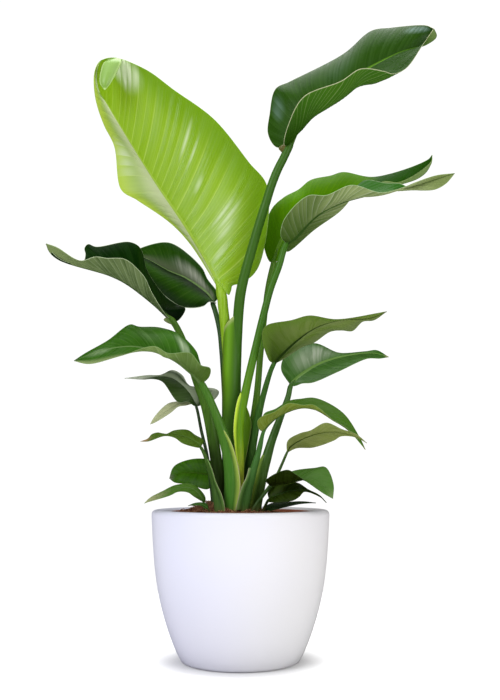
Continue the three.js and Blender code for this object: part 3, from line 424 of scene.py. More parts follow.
LEAVES["leaf_left_mid"] = dict(
    vein_gap=10, edge_width=1.3, girth=[11, 12, 12, 10, 8, 7, 6],
    bow=[[-0.1, -0.15, -0.05, 0], [0.12, 0.15, 0.1, 0]],
    stalk=[[-17, -31, 239], [-15, -33, 298], [-18, -34, 331], [-36, -36, 393], [-65, -38, 458]],
    midrib=[[-75, -42, 470], [-114, -51, 500], [-172, -61, 518], [-223, -68, 513], [-275, -75, 493]],
    left=[[-52, -52, 469], [-50, -68, 482], [-65, -79, 486], [-82, -84, 505], [-118, -91, 504],
        [-140, -93, 515], [-199, -92, 498], [-248, -83, 487]],
    right=[[-63, -26, 471], [-71, -24, 503], [-76, -27, 516], [-104, -29, 544], [-139, -29, 556],
        [-173, -38, 556], [-187, -42, 559], [-223, -53, 530], [-259, -67, 506]],
    wings=[dict(edge=[[-27, -42, 380], [-19, -45, 367], [-13, -46, 354], [-7, -46, 334], [-3, -46, 316],
        [0, -45, 290], [-3, -44, 266], [-6, -43, 246]])],
    look=dict(upper=[(44, 92, 8), (56, 108, 16), (96, 136, 60)],
        under=[(120, 146, 78), (98, 126, 58), (156, 176, 120)],
        rib=(110, 146, 80), rib_under=(86, 114, 56), margin=(136, 162, 104), stalk=[(72, 132, 40),
        (66, 112, 30)], tip=(40, 62, 16), under_foot=(66, 96, 26), foot_to=0.4, tip_span=(0.93, 1),
        far=((146, 164, 106), None), vein_strength=0.6, line_width=0.2, sheath=(156, 180, 76),
        # The shines are a painted sheen.
        sheath_edge=(214, 206, 160), shine_tone=(176, 196, 158), shine=[[0.8, 0, 0.12, 0.5, 0.5],
        [0.17, 0.58, 0.08, 0.4, 1], [0.4, 0.5, 0.12, 0.4, 0.15]]))
LEAVES["leaf_left_grey"] = dict(
    slot="leaf_pale", vein_gap=6, girth=[3, 3, 2.8, 2.5],
    bow=[[0.05, 0.05, 0], [0.05, 0.1, 0]],
    stalk=[[-45, -13, 238], [-56, -13, 335], [-67, -8, 381], [-76, -5, 422]],
    midrib=[[-87, 0, 446], [-119, 10, 473], [-168, 21, 476], [-204, 24, 474]],
    left=[[-81, -12, 424], [-90, -16, 430], [-106, -15, 429], [-136, 3, 466], [-152, 8, 471],
        [-171, 17, 471]],
    right=[[-67, 6, 426], [-45, 18, 437], [-38, 21, 450], [-47, 22, 456], [-80, 22, 455], [-93, 24, 464],
        [-103, 26, 480], [-121, 30, 489], [-139, 31, 480], [-163, 29, 480]],
    look=dict(upper=[(46, 70, 22), (60, 84, 36), (84, 102, 70)],
        under=[(104, 122, 92), (84, 102, 74), (130, 144, 118)],
        rib=(170, 182, 154), margin=(112, 130, 96), stalk=[(38, 62, 26), (34, 56, 24)], tip=(192, 198, 180),
        # near and far on the right half paint a highlight along the leaf's top band, a painted sheen.
        tip_span=(0.55, 0.75), near=(None, (176, 188, 158)), far=(None, (188, 198, 174))))
LEAVES["leaf_left_pale"] = dict(
    slot="leaf_pale", vein_gap=5, girth=[2.4, 2.2, 1.8],
    stalk=[[-38, 40, 235], [-43, 44, 297], [-49, 36, 349], [-60, 17, 421], [-69, 12, 440]],
    midrib=[[-117, 2, 422], [-155, -5, 392]],
    left=[[-77, 6, 431], [-92, 0, 425], [-107, -5, 422], [-119, -8, 412], [-146, -8, 395]],
    right=[[-78, 16, 440], [-95, 13, 433], [-124, 5, 429], [-148, -2, 405]],
    look=dict(upper=[(180, 186, 140), (188, 194, 150), (200, 204, 168)],
        under=[(180, 186, 140), (172, 178, 130), (196, 200, 160)],
        rib=(150, 164, 120), rib_under=(120, 134, 92), margin=(160, 170, 134), stalk=[(40, 64, 26),
        (48, 74, 32)]))
LEAVES["leaf_left_brown_tip"] = dict(
    slot="leaf_dark", vein_gap=5, girth=[9, 8, 5, 3.5, 2.6],
    bow=[[0.05, 0.05, 0], [0.1, 0.05, 0]],
    stalk=[[-34, -45, 239], [-36, -44, 261], [-58, -42, 336], [-66, -41, 352]],
    midrib=[[-76, -44, 362], [-105, -53, 373], [-139, -62, 370], [-151, -65, 364], [-164, -68, 361]],
    left=[[-69, -47, 351], [-95, -60, 358], [-108, -61, 367], [-124, -61, 370], [-151, -67, 361]],
    right=[[-62, -32, 364], [-76, -33, 373], [-88, -37, 381], [-110, -47, 380], [-125, -55, 373],
        [-136, -58, 376], [-146, -61, 373], [-152, -64, 366]],
    wings=[dict(edge=[[-54, -45, 332], [-47, -50, 317], [-40, -52, 295], [-31, -53, 276], [-26, -52, 258],
        [-25, -51, 246]])],
    look=dict(upper=[(66, 92, 18), (78, 108, 30), (96, 126, 50)],
        under=[(112, 130, 78), (96, 116, 60), (132, 148, 100)],
        rib=(80, 112, 40), margin=(110, 132, 76), stalk=[(64, 104, 44), (56, 88, 30)], tip=(170, 134, 100),
        under_tip=(140, 116, 90), tip_span=(0.75, 0.95), sheath=(98, 138, 66),
        sheath_edge=(204, 200, 160)))
LEAVES["leaf_left_blunt"] = dict(
    vein_gap=4, girth=[3.4, 3, 2.6],
    bow=[[0.08, 0.08, 0.05], [0.08, 0.08, 0.05]],
    stalk=[[-25, 24, 236], [-34, 22, 287], [-40, 18, 299], [-48, 14, 304]],
    midrib=[[-63, 18, 308], [-100, 26, 309], [-124, 29, 300]],
    left=[[-47, 8, 291], [-56, 5, 282], [-80, 12, 287], [-98, 18, 291], [-114, 24, 293]],
    right=[[-48, 20, 320], [-53, 24, 331], [-81, 31, 334], [-111, 35, 325], [-119, 33, 317]],
    look=dict(upper=[(42, 86, 1), (56, 104, 2), (78, 120, 16)],
        under=[(50, 86, 10), (60, 98, 14), (76, 112, 34)],
        rib=(64, 100, 18), margin=(90, 122, 40), stalk=[(36, 60, 16), (40, 66, 16)], tip=(96, 104, 78),
        under_tip=(96, 104, 78), vein_strength=0.5, line_width=0.2))
LEAVES["leaf_left_rim"] = dict(
    vein_gap=4, girth=[3.5, 2.8, 2.2],
    stalk=[[-57, -30, 235], [-59, -32, 249], [-61, -34, 261]],
    midrib=[[-66, -39, 272], [-77, -45, 283], [-93, -51, 286], [-156, -68, 261]],
    left=[[-76, -51, 271], [-86, -56, 278], [-102, -60, 279], [-115, -62, 273]],
    right=[[-58, -30, 265], [-60, -30, 273], [-79, -40, 291], [-107, -51, 290], [-128, -58, 280],
        [-147, -64, 270]],
    look=dict(upper=[(66, 104, 28), (80, 118, 42), (92, 132, 58)],
        under=[(84, 116, 60), (70, 102, 46), (104, 132, 80)],
        rib=(96, 130, 66), margin=(120, 144, 80), stalk=[(40, 66, 20), (44, 74, 24)], tip=(150, 156, 110),
        tip_span=(0.5, 0.9)))
LEAVES["leaf_left_sprout"] = dict(
    vein_gap=4, girth=[2.2, 1.8, 1.4],
    stalk=[[-44, -56, 234], [-47, -58, 243], [-52, -60, 251]],
    midrib=[[-59, -62, 258], [-70, -64, 260], [-85, -66, 257]],
    left=[[-56, -65, 252], [-64, -68, 257]],
    right=[[-54, -56, 259], [-63, -57, 262], [-75, -61, 261]],
    look=dict(upper=[(40, 76, 22), (52, 90, 30), (70, 106, 44)],
        under=[(60, 94, 40), (50, 82, 30), (80, 112, 56)],
        rib=(80, 112, 54), margin=(90, 120, 60), stalk=[(44, 70, 26), (44, 74, 26)]))

# ---------------------------------------------------------------- meshes and curves

def add_object(name, data):
    """An object in the scene."""
    made = bpy.data.objects.new(name, data)
    bpy.context.scene.collection.objects.link(made)
    return made


def new_piece(name, points, faces, materials, marks=None, material_of=None):
    """A smooth piece from points in mm, their faces, and vectors marked at the points."""
    mesh = bpy.data.meshes.new(name)
    mesh.from_pydata((points * MM).tolist(), [], faces)
    for label, values in (marks or {}).items():
        mesh.attributes.new(label, "FLOAT_VECTOR", "POINT").data.foreach_set("vector", values.ravel())
    for material in materials:
        mesh.materials.append(material)
    if material_of is not None:
        mesh.polygons.foreach_set("material_index", material_of)
    mesh.shade_smooth()
    mesh.validate()
    piece = add_object(name, mesh)
    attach(piece, "root")
    return piece


def grid_faces(rows, columns, start=0, around=False):
    """Quads of a grid of points, (i, j), (i, j+1), (i+1, j+1), (i+1, j), closed around if asked."""
    i, j = np.meshgrid(np.arange(rows - 1), np.arange(columns if around else columns - 1), indexing="ij")
    here = start + i * columns + j
    beside = start + i * columns + (j + 1) % columns
    return np.stack([here, beside, beside + columns, here + columns], axis=-1).reshape(-1, 4)


def closed_rings(rings, first, last):
    """A closed skin over rings of points: quads between them, and a fan at each end round a middle
    point."""
    rows, columns = rings.shape[:2]
    count = rows * columns
    i = np.arange(columns)
    beside = (i + 1) % columns
    fans = [np.stack([np.full_like(i, count), beside, i], axis=-1),
            np.stack([np.full_like(i, count + 1), count - columns + i, count - columns + beside], axis=-1)]
    faces = grid_faces(rows, columns, around=True).tolist() + np.concatenate(fans).tolist()
    return np.concatenate([rings.reshape(-1, 3), [first, last]]), faces


def shell_faces(rows, columns, around=False):
    """Faces of a closed sheet between two grids of points, the outer one first: both grids, the
    inner one turned over, and a rim between their borders."""
    count = rows * columns
    last = (rows - 1) * columns
    if around:
        borders = [np.arange(columns), last + np.arange(columns)[::-1]]
    else:
        borders = [np.concatenate([np.arange(columns), np.arange(1, rows) * columns + columns - 1,
                                   last + np.arange(columns - 2, -1, -1),
                                   np.arange(rows - 2, 0, -1) * columns])]
    rims = []
    for border in borders:
        after = np.roll(border, -1)
        rims.append(np.stack([after, border, border + count, after + count], axis=-1))
    outer = grid_faces(rows, columns, 0, around)
    inner = grid_faces(rows, columns, count, around)[:, ::-1]
    return np.concatenate([outer, inner, *rims]).tolist()


def two_sides(outer, inner, place, marks, around=False):
    """A closed sheet between two grids: its points, faces, place and marks. The place gets a third
    value, 0 on the outer side and 1 on the inner one."""
    points = np.concatenate([outer.reshape(-1, 3), inner.reshape(-1, 3)])
    sides = [np.stack([*place, np.full_like(place[0], side)], axis=-1).reshape(-1, 3) for side in (0, 1)]
    detail = np.stack(marks, axis=-1).reshape(-1, 3)
    return points, shell_faces(*outer.shape[:2], around), np.concatenate(sides), np.tile(detail, (2, 1))


def sheet(middle, half, place, marks, around=False):
    """A closed sheet round a grid of points, half thick to each side along the grid's normals."""
    if around:
        across = np.roll(middle, -1, axis=1) - np.roll(middle, 1, axis=1)
    else:
        across = np.gradient(middle, axis=1)
    normal = unit(np.cross(across, np.gradient(middle, axis=0)))
    return two_sides(middle + normal * half, middle - normal * half, place, marks, around)


def gather(parts):
    """Several meshes as one: their points, and their faces counted on."""
    start = np.cumsum([0] + [len(part[0]) for part in parts])
    faces = [[index + first for index in face] for part, first in zip(parts, start) for face in part[1]]
    points, place, marks = (np.concatenate([part[item] for part in parts]) for item in (0, 2, 3))
    return points, faces, place, marks


def unit(vectors):
    """Vectors divided by their lengths."""
    return vectors / np.maximum(np.linalg.norm(vectors, axis=-1, keepdims=True), 1e-9)


def smooth(x, low, high):
    """0 below low, 1 above high, and 3t^2 - 2t^3 of the share t of the way between."""
    t = np.clip((np.asarray(x, float) - low) / (high - low), 0, 1)
    return t * t * (3 - 2 * t)


def along(values, share):
    """Values of an evenly spaced list at shares of the way along it, eased between entries."""
    values = np.asarray(values, float)
    x = np.clip(share, 0, 1) * (len(values) - 1)
    i = np.minimum(x.astype(int), len(values) - 2)
    t = smooth(x - i, 0, 1)
    return values[i] * (1 - t) + values[i + 1] * t


def turns(sides):
    """Angles spread evenly round a ring."""
    return np.linspace(0, 2 * np.pi, sides, endpoint=False)


def ring_points(radius, turn, height):
    """P = (r cos t, r sin t, z)."""
    return np.stack([radius * np.cos(turn), radius * np.sin(turn), height + 0 * turn], axis=-1)


def tube_points(centre, wide, deep, width, depth, sides):
    """Rings round a line of centres: P = C + W w cos t + D d sin t."""
    turn = turns(sides)
    return (centre[..., None, :] + wide[..., None, :] * (width[..., None] * np.cos(turn))[..., None]
            + deep[..., None, :] * (depth[..., None] * np.sin(turn))[..., None])


class Curve:
    """A centripetal Catmull-Rom curve through points, read by share of its length."""

    def __init__(self, points):
        p = np.asarray(points, float)
        self.ends = np.concatenate([[2 * p[0] - p[1]], p, [2 * p[-1] - p[-2]]])
        self.spans = len(p) - 1
        self.steps = np.linspace(0, self.spans, self.spans * ARC_STEPS + 1)
        pieces = np.linalg.norm(np.diff(self.place(self.steps), axis=0), axis=-1)
        self.lengths = np.concatenate([[0], np.cumsum(pieces)])

    def place(self, x):
        """Cubic Hermite between neighbours, its slopes from the square roots of the distances."""
        i = np.clip(x.astype(int), 0, self.spans - 1)
        w = (x - i)[..., None]
        a, b, c, d = (self.ends[i + k] for k in range(4))
        before, here, after = (np.maximum(np.linalg.norm(q - p, axis=-1, keepdims=True) ** 0.5, 1e-4)
                               for p, q in ((a, b), (b, c), (c, d)))
        first = ((b - a) / before - (c - a) / (before + here) + (c - b) / here) * here
        last = ((c - b) / here - (d - b) / (here + after) + (d - c) / after) * here
        return (b + first * w + (3 * (c - b) - 2 * first - last) * w ** 2
                + (2 * (b - c) + first + last) * w ** 3)

    def at(self, share):
        return self.place(np.interp(share * self.lengths[-1], self.lengths, self.steps))

    def ahead(self, share):
        """Unit tangents, from points a thousandth of the length before and after."""
        return unit(self.at(np.minimum(share + 1e-3, 1)) - self.at(np.maximum(share - 1e-3, 0)))


# ---------------------------------------------------------------- leaves

class Leaf:
    """Spine and margins of one leaf, in mm."""

    def __init__(self, name, entry):
        self.name = name
        self.girth = entry["girth"]
        self.bow = entry.get("bow", BOW)
        self.pleat = entry.get("pleat", PLEAT)
        self.vein_gap = entry.get("vein_gap", VEIN_GAP)
        self.sweep = entry.get("sweep", VEIN_SWEEP)
        self.edge_width = entry.get("edge_width", EDGE_WIDTH)
        stalk = entry["stalk"]
        tip = entry["midrib"][-1]
        root = [stalk[0][0], stalk[0][1], stalk[0][2] - ROOT_DEPTH]
        self.spine = Curve([root, *stalk, *entry["midrib"]])
        self.length = self.spine.lengths[-1]
        self.foot = self.spine.lengths[len(stalk) * ARC_STEPS] / self.length
        self.margins = [Curve([stalk[-1], *entry[side], tip]) for side in ("left", "right")]
        self.blade_length = self.length * (1 - self.foot)

    def share(self, u):
        """The share of the spine's length at the share u of the blade's."""
        return self.foot + (1 - self.foot) * u

    def midrib_radius(self, u):
        """Half width from the stalk's at the foot to a thread's at the tip, by the root of u."""
        return self.girth[-1] + (MIDRIB_TIP_RADIUS - self.girth[-1]) * np.sqrt(u)


def half_blade(leaf, u, side):
    """One half of a blade's middle surface, over rows u and columns from midrib to margin.
    P = S(u) + a R(u) + n h(u) 4a(1 - a): S is the midrib, R reaches from it to the margin a little
    further on, n is the normal of R and the midrib's direction, and h is the bow times |R|.
    """
    start = leaf.spine.at(leaf.share(u))
    reach = leaf.margins[side].at(u + VEIN_LEAN * u * (1 - u)) - start
    width = np.linalg.norm(reach, axis=-1)
    up = unit(np.cross(reach, leaf.spine.ahead(leaf.share(u)))) * (1 if side else -1)
    near = np.minimum(WIDEST_MIDRIB, leaf.midrib_radius(u) / np.maximum(width, 1e-6))
    edge = np.minimum(WIDEST_EDGE, leaf.edge_width / np.maximum(width, 1e-6))
    rib = np.linspace(0, 1, RIB_COLUMNS + 1)[:-1]
    web = np.linspace(0, 1, WEB_COLUMNS + 1)
    a = np.concatenate([near[:, None] * rib, near[:, None] + (1 - edge - near)[:, None] * web,
                        np.ones((len(u), 1))], axis=1)
    bow = along(leaf.bow[side], u) * width
    points = (start[:, None] + reach[:, None] * a[..., None]
              + up[:, None] * (bow[:, None] * 4 * a * (1 - a))[..., None])
    ribs = np.concatenate([1 - rib ** 2, np.zeros(WEB_COLUMNS + 2)])
    edges = np.concatenate([np.zeros(RIB_COLUMNS + WEB_COLUMNS + 1), [1]])
    return points, a, np.broadcast_to(ribs, a.shape), np.broadcast_to(edges, a.shape)


def vein_lane(leaf, v, side):
    """The number of side veins passed at v along the midrib, uneven by two slow waves, the same
    all along a vein."""
    even = v * leaf.blade_length / leaf.vein_gap
    return sum((size * np.sin(pace * even + shift * side) for size, pace, shift in LANE_WAVES), even)


def blade(leaf):
    """A closed sheet: both halves joined at the midrib, pleated along the side veins, with a
    rounded rib under the midrib. A side vein keeps to v = u - sweep a. Its place is (u, signed a)
    and its marks are (rib, edge, vein lane), which the materials read.
    """
    u = np.linspace(*BLADE_ENDS, int(np.clip(leaf.blade_length / ROW_STEP, *BLADE_ROWS)))
    left, right = (half_blade(leaf, u, side) for side in (0, 1))
    middle, reach, rib, edge = (np.concatenate([l[:, :0:-1], r], axis=1) for l, r in zip(left, right))
    columns = middle.shape[1]
    sign = np.where(np.arange(columns) < columns // 2, -1.0, 1.0)
    normal = unit(np.cross(np.gradient(middle, axis=1), np.gradient(middle, axis=0)))
    u = u[:, None]
    lane = vein_lane(leaf, u - np.where(sign < 0, *leaf.sweep) * reach, sign)
    swell = 1 - PLEAT_SWING + PLEAT_SWING * np.sin(0.9 * lane + 1.7)
    fade = smooth(reach, *PLEAT_START) * (1 - smooth(reach, *PLEAT_END)) * np.sin(np.pi * u) ** 0.3
    pillow = np.abs(np.sin(np.pi * lane)) ** PILLOW_ROUND - PILLOW_LEVEL
    middle = middle + normal * (leaf.pleat * pillow * swell * fade)[..., None]
    half = BLADE_THICKNESS / 2 * (1 - EDGE_THINNING * edge)
    depth = RIB_DEPTH * leaf.midrib_radius(u) * np.sqrt(rib)
    groove = RIB_GROOVE * leaf.midrib_radius(u) * rib ** 2
    upper = middle + normal * (half - groove)[..., None]
    lower = middle - normal * (half + depth)[..., None]
    return two_sides(upper, lower, [np.broadcast_to(u, reach.shape), reach * sign], [rib, edge, lane])


def stalk(leaf):
    """A tapering tube along the spine from the root to a little way under the blade: at each
    station the ring is r cos t along the level axis and f r sin t across it, f from OVAL to 1.
    """
    beyond = leaf.share(UNDER_BLADE)
    rows = max(STALK_ROWS, int(leaf.length * beyond / STALK_STEP))
    share = np.linspace(0, beyond, rows)
    root = ROOT_DEPTH / leaf.length
    climb = (share - root) / (leaf.foot - root)
    u = np.maximum(0, (share - leaf.foot) / (1 - leaf.foot))
    centre = leaf.spine.at(share)
    ahead = leaf.spine.ahead(share)
    wide = unit(np.array([1.0, 0, 0]) - ahead * ahead[:, :1])
    deep = np.cross(ahead, wide)
    slim = leaf.midrib_radius(u) * (1 - STALK_THINNING * smooth(u, 0, UNDER_BLADE))
    radius = np.where(u > 0, slim, along(leaf.girth, climb))
    flat = OVAL + (1 - OVAL) * np.clip(climb, 0, 1)
    rings = tube_points(centre, wide, deep, radius, radius * flat, STALK_SIDES)
    points, faces = closed_rings(rings, centre[0], centre[-1])
    blank = np.zeros_like(points)
    place = blank.copy()
    place[:, 0] = np.append(np.repeat(climb, STALK_SIDES), climb[[0, -1]])
    return points, faces, place, blank


def wing_grid():
    """Shares down and across a wing."""
    return np.meshgrid(np.linspace(0, 1, WING_ROWS), np.linspace(0, 1, WING_COLUMNS), indexing="ij")


def bowed(left, right, a, bow):
    """A grid between two edges, bowed to the front: P = L + (R - L) a - y b |R - L| 4a(1 - a)."""
    reach = right - left
    middle = left[:, None] + reach[:, None] * a[..., None]
    middle[..., 1] -= bow * np.linalg.norm(reach, axis=-1)[:, None] * 4 * a * (1 - a)
    return middle


def sheath_wing(leaf, edge, brown_and_shade=0):
    """The free wing of a stalk's sheath, from the stalk's own line at the same height to the wing's
    margin. Its last argument is its share of the sheath's dark colour: a painted shadow on
    leaf_right_front's right wing, and a real dark brown on leaf_tall_right's nub."""
    margin = Curve(edge).at(np.linspace(0, 1, WING_ROWS))
    line = leaf.spine.at(np.linspace(0, leaf.foot, LINE_SAMPLES))
    centre = np.stack([np.interp(margin[:, 2], line[:, 2], line[:, axis]) for axis in range(3)], axis=-1)
    _, a = wing_grid()
    climb = np.interp(centre[:, 2], line[:, 2], np.linspace(0, 1, LINE_SAMPLES))[:, None] + 0 * a
    marks = [smooth(a, 0.3, 0.95) * (1 - brown_and_shade), smooth(a, 0.9, 1) * (1 - 0.6 * brown_and_shade), 0 * a + brown_and_shade]
    return sheet(bowed(centre, margin, a, WING_BOW), WING_HALF, [climb, a], marks)


def sheath_tube(line, low, rise):
    """A sheath round two stalks: oval rings round a line (x, y, z, rx, ry) from the soil up, its
    mouth cut in an arc from low on the left: P = C(z) + (rx cos t, ry sin t, 0), z up to low + rise
    ((1 + cos t) / 2)^MOUTH_ROUND. A lit band and a brown one follow it down."""
    turn = turns(STALK_SIDES)
    share = np.linspace(0, 1, WING_ROWS)[:, None]
    line = np.asarray(line, float)
    mouth = low + rise * ((1 + np.cos(turn)) / 2) ** MOUTH_ROUND
    z = line[0, 2] + share * (mouth - line[0, 2])
    x, y, wide, deep = (np.interp(z, line[:, 2], line[:, column]) for column in (0, 1, 3, 4))
    middle = np.stack([x + wide * np.cos(turn), y + deep * np.sin(turn), z], axis=-1)
    climb = (z - line[0, 2]) / (low - line[0, 2])
    pale = smooth(climb, 0.35, 0.95) * np.exp(-((np.cos(turn) + LIT_LINE) / LIT_WIDTH) ** 2)
    brown = BROWN_SHARE * smooth(climb, 0.5, 0.75) * smooth(-np.cos(turn), BROWN_LINE, 1)
    rim = smooth(share + 0 * climb, 0.96, 1)
    return sheet(middle, WING_HALF, [climb, 0 * climb], [pale, rim, brown], True)


def curl(left, right):
    """A curled lip of blade between two edges that meet in its tip, hollow towards the back."""
    left, right = (Curve(edge).at(np.linspace(0, CURL_END, WING_ROWS)) for edge in (left, right))
    down, a = wing_grid()
    border = np.maximum(smooth(np.abs(2 * a - 1), 0.6, 1), smooth(down, 0.88, 1))
    # The lip sits at the blade's tip, so it takes the leaf's tip colour; on leaf_lime_upright that is a
    # painted highlight inside the curl.
    place = [1 - CURL_SHARE * down, 2 * a - 1]
    return sheet(bowed(left, right, a, CURL_BOW), BLADE_THICKNESS / 2, place, [0 * a, border, 3 * down])


# ---------------------------------------------------------------- materials

def paint(red, green, blue):
    """A linear colour from display values of 0 to 255."""
    levels = np.array([red, green, blue]) / 255
    linear = np.where(levels <= 0.04045, levels / 12.92, ((levels + 0.055) / 1.055) ** 2.4)
    return (*linear.tolist(), 1.0)


class Nodes:
    """A node tree with methods that add a node and give back its output socket. A colour is given
    in display values."""

    def __init__(self, tree):
        self.tree = tree

    def put(self, socket, value):
        """Link a socket to another one, or set its constant."""
        if isinstance(value, bpy.types.NodeSocket):
            self.tree.links.new(value, socket)
        else:
            socket.default_value = paint(*value) if socket.type == "RGBA" else value

    def outputs(self, kind, values, **settings):
        made = self.tree.nodes.new(kind)
        for label, value in settings.items():
            setattr(made, label, value)
        for label, value in values.items():
            self.put(made.inputs[label], value)
        return made.outputs

    def node(self, kind, values, output=0, **settings):
        return self.outputs(kind, values, **settings)[output]

    def math(self, operation, first, second=0.0):
        return self.node("ShaderNodeMath", {0: first, 1: second}, operation=operation)

    def times(self, first, second, *more):
        """The product of two or more values."""
        made = self.math("MULTIPLY", first, second)
        return self.times(made, *more) if more else made

    def plus(self, first, second):
        return self.math("ADD", first, second)

    def mix(self, share, first, second):
        return self.node("ShaderNodeMix", {0: share, 6: first, 7: second}, 2, data_type="RGBA")

    def ease(self, value, low, high, start=0.0, end=1.0):
        """start at low, end at high, eased between."""
        values = {"Value": value, "From Min": low, "From Max": high, "To Min": start, "To Max": end}
        return self.node("ShaderNodeMapRange", values, interpolation_type="SMOOTHSTEP")

    def split(self, vector):
        return list(self.outputs("ShaderNodeSeparateXYZ", {0: vector}))

    def join(self, x, y, z=0.0):
        return self.node("ShaderNodeCombineXYZ", {0: x, 1: y, 2: z})

    def length(self, vector):
        return self.node("ShaderNodeVectorMath", {0: vector}, 1, operation="LENGTH")

    def mark(self, name):
        return self.node("ShaderNodeAttribute", {}, "Vector", attribute_name=name)

    def here(self):
        return self.node("ShaderNodeTexCoord", {}, "Object")

    def noise(self, vector, scale, detail=2.0, roughness=0.5):
        values = {"Vector": vector, "Scale": scale, "Detail": detail, "Roughness": roughness}
        return self.node("ShaderNodeTexNoise", values)

    def wave(self, count):
        """0 to 1 and back, count times."""
        return self.ease(self.math("SINE", self.times(count, 2 * math.pi)), -1.0, 1.0)


class Surface(Nodes):
    """A principled material."""

    def __init__(self, name, **settings):
        self.material = bpy.data.materials.new(name)
        self.material.use_nodes = True
        super().__init__(self.material.node_tree)
        self.shader = self.tree.nodes["Principled BSDF"]
        self.set(**settings)

    def set(self, **settings):
        """Values for the shader's own sockets, named with _ for each space."""
        for label, value in settings.items():
            self.put(self.shader.inputs[label.replace("_", " ")], value)

    def bump(self, height, distance):
        self.set(Normal=self.node("ShaderNodeBump", {"Strength": 1, "Distance": distance, "Height": height}))


def blade_material(leaf, look):
    """Upper and under side with streaks along the side veins, each panel painted lighter next to one vein and
    darker towards the next as painted shading of the pleats, painted highlights on the upper side, a paler
    rib and a thin pale edge.
    """
    s = Surface(leaf.name + "_blade", Specular_IOR_Level=look["gloss"])
    u, across, below = s.split(s.mark("place"))
    rib, edge, lane = s.split(s.mark("marks"))
    reach = s.math("ABSOLUTE", across)
    panel = s.noise(s.join(lane, s.times(reach, 1.2), s.times(s.math("SIGN", across), 9.0)), 0.8, 3.0)
    streak = s.ease(panel, *STREAK_SPAN)
    crease = s.math("ABSOLUTE", s.math("SINE", s.times(lane, math.pi)))
    line = s.ease(crease, 0, look["line_width"], 1, 0)
    phase = s.math("FRACT", lane)
    flank = look["flank"]
    calm = s.ease(u, *CALM_TIP)
    # tone paints each panel lighter next to one vein and darker towards the next, by flank: painted shading
    # of the pleats, over the random streaks.
    tone = s.plus(s.times(streak, 1 - flank), s.ease(phase, 0, 1, flank, 0))
    thread = s.wave(s.times(lane, THREADS))
    halves = [s.ease(across, -HALF_BLEND, HALF_BLEND, 1 - half, half) for half in (0, 1)]
    by_rib = s.ease(reach, NEAR_FROM, look["near_width"], HALF_TINT, 0)
    by_margin = s.ease(reach, *FAR_SPAN, 0, HALF_TINT)

    def face(side, prefix):
        """One side's colour, from its base over streaks, painted pleat shading and veins to the tints of ends
        and halves, some of which are painted sheen and highlights.
        """
        base, light, vein = look[side]
        foot, tip, near, far = (look[prefix + place] for place in ("foot", "tip", "near", "far"))
        made = s.mix(s.times(tone, calm), base, light)
        made = s.mix(s.times(line, look["vein_strength"], calm), made, vein)
        made = s.mix(s.times(thread, THREAD_TINT, calm), made, vein)
        if foot:
            made = s.mix(s.ease(u, 0, look["foot_to"], FOOT_TINT, 0), made, foot)
        if tip:
            made = s.mix(s.ease(u, *look["tip_span"]), made, tip)
        for half, *tints in zip(halves, near, far):
            for tint, share in zip(tints, (by_rib, by_margin)):
                if tint:
                    made = s.mix(s.times(half, share), made, tint)
        return made

    top = face("upper", "")
    bottom = face("under", "under_")
    vein = s.times(lane, leaf.vein_gap / leaf.blade_length)
    # Painted highlights: patches of shine_tone on the upper side, strongest next to one vein of each panel.
    for at_vein, at_across, long, wide, strength in look["shine"]:
        off = s.length(s.join(s.times(s.math("SUBTRACT", vein, at_vein), 1 / long),
                              s.times(s.math("SUBTRACT", across, at_across), 1 / wide)))
        patch = s.times(s.ease(off, 0, 1, strength, 0), s.ease(panel, 0.3, 0.55, 0.5, 1),
                        s.ease(phase, 0.1, 1, 1, 1 - 1.2 * flank))
        top = s.mix(patch, top, look["shine_tone"])
    top = s.mix(s.ease(rib, *RIB_SPAN), top, look["rib"])
    bottom = s.mix(s.ease(rib, *RIB_UNDER_SPAN), bottom, look["rib_under"])
    made = s.mix(below, top, bottom)
    s.set(Base_Color=s.mix(s.ease(edge, *MARGIN_SPAN), made, look["margin"]),
          Roughness=s.ease(panel, 0.3, 0.7, *BLADE_ROUGHNESS))
    s.bump(s.plus(s.times(thread, 0.6, calm), s.noise(s.here(), SKIN_GRAIN)), SKIN_BUMP)
    return s.material


def stalk_material(leaf, look):
    """Green with fine streaks along the stalk, browner in the soil."""
    s = Surface(leaf.name + "_stalk", Roughness=0.36, Specular_IOR_Level=0.18)
    pale, edge, brown_and_shade = s.split(s.mark("marks"))
    climb, _, _ = s.split(s.mark("place"))
    x, y, z = s.split(s.here())
    fibre = s.noise(s.join(s.times(x, FIBRE_GRAIN), s.times(y, FIBRE_GRAIN), s.times(z, 9.0)), 1.0, 3.0)
    made = s.mix(s.ease(climb, 0.0, 0.7), *look["stalk"])
    made = s.mix(s.ease(fibre, 0.35, 0.75, 0.0, 0.4), made, look["upper"][2])
    # A tint at the stalk's foot; on leaf_right_front it is a painted light, a bright lit yellow-green.
    if look["stalk_foot"]:
        tint, to = look["stalk_foot"]
        made = s.mix(s.ease(climb, 0.0, to, 0.95, 0.0), made, tint)
    # The first mark paints a pale wing, and on leaf_tall_right's tube a painted lit band; the third paints a
    # real brown on leaf_tall_right and a painted shade on leaf_right_front's right wing.
    for share, part in ((brown_and_shade, "sheath_brown_and_shade"), (pale, "sheath"), (edge, "sheath_edge")):
        made = s.mix(share, made, look[part])
    stain = s.ease(z, SOIL_LEVEL * MM, SOIL_STAIN * MM, 0.7, 0.0)
    s.set(Base_Color=s.mix(stain, made, STAIN_COLOUR))
    s.bump(fibre, 0.0002)
    return s.material


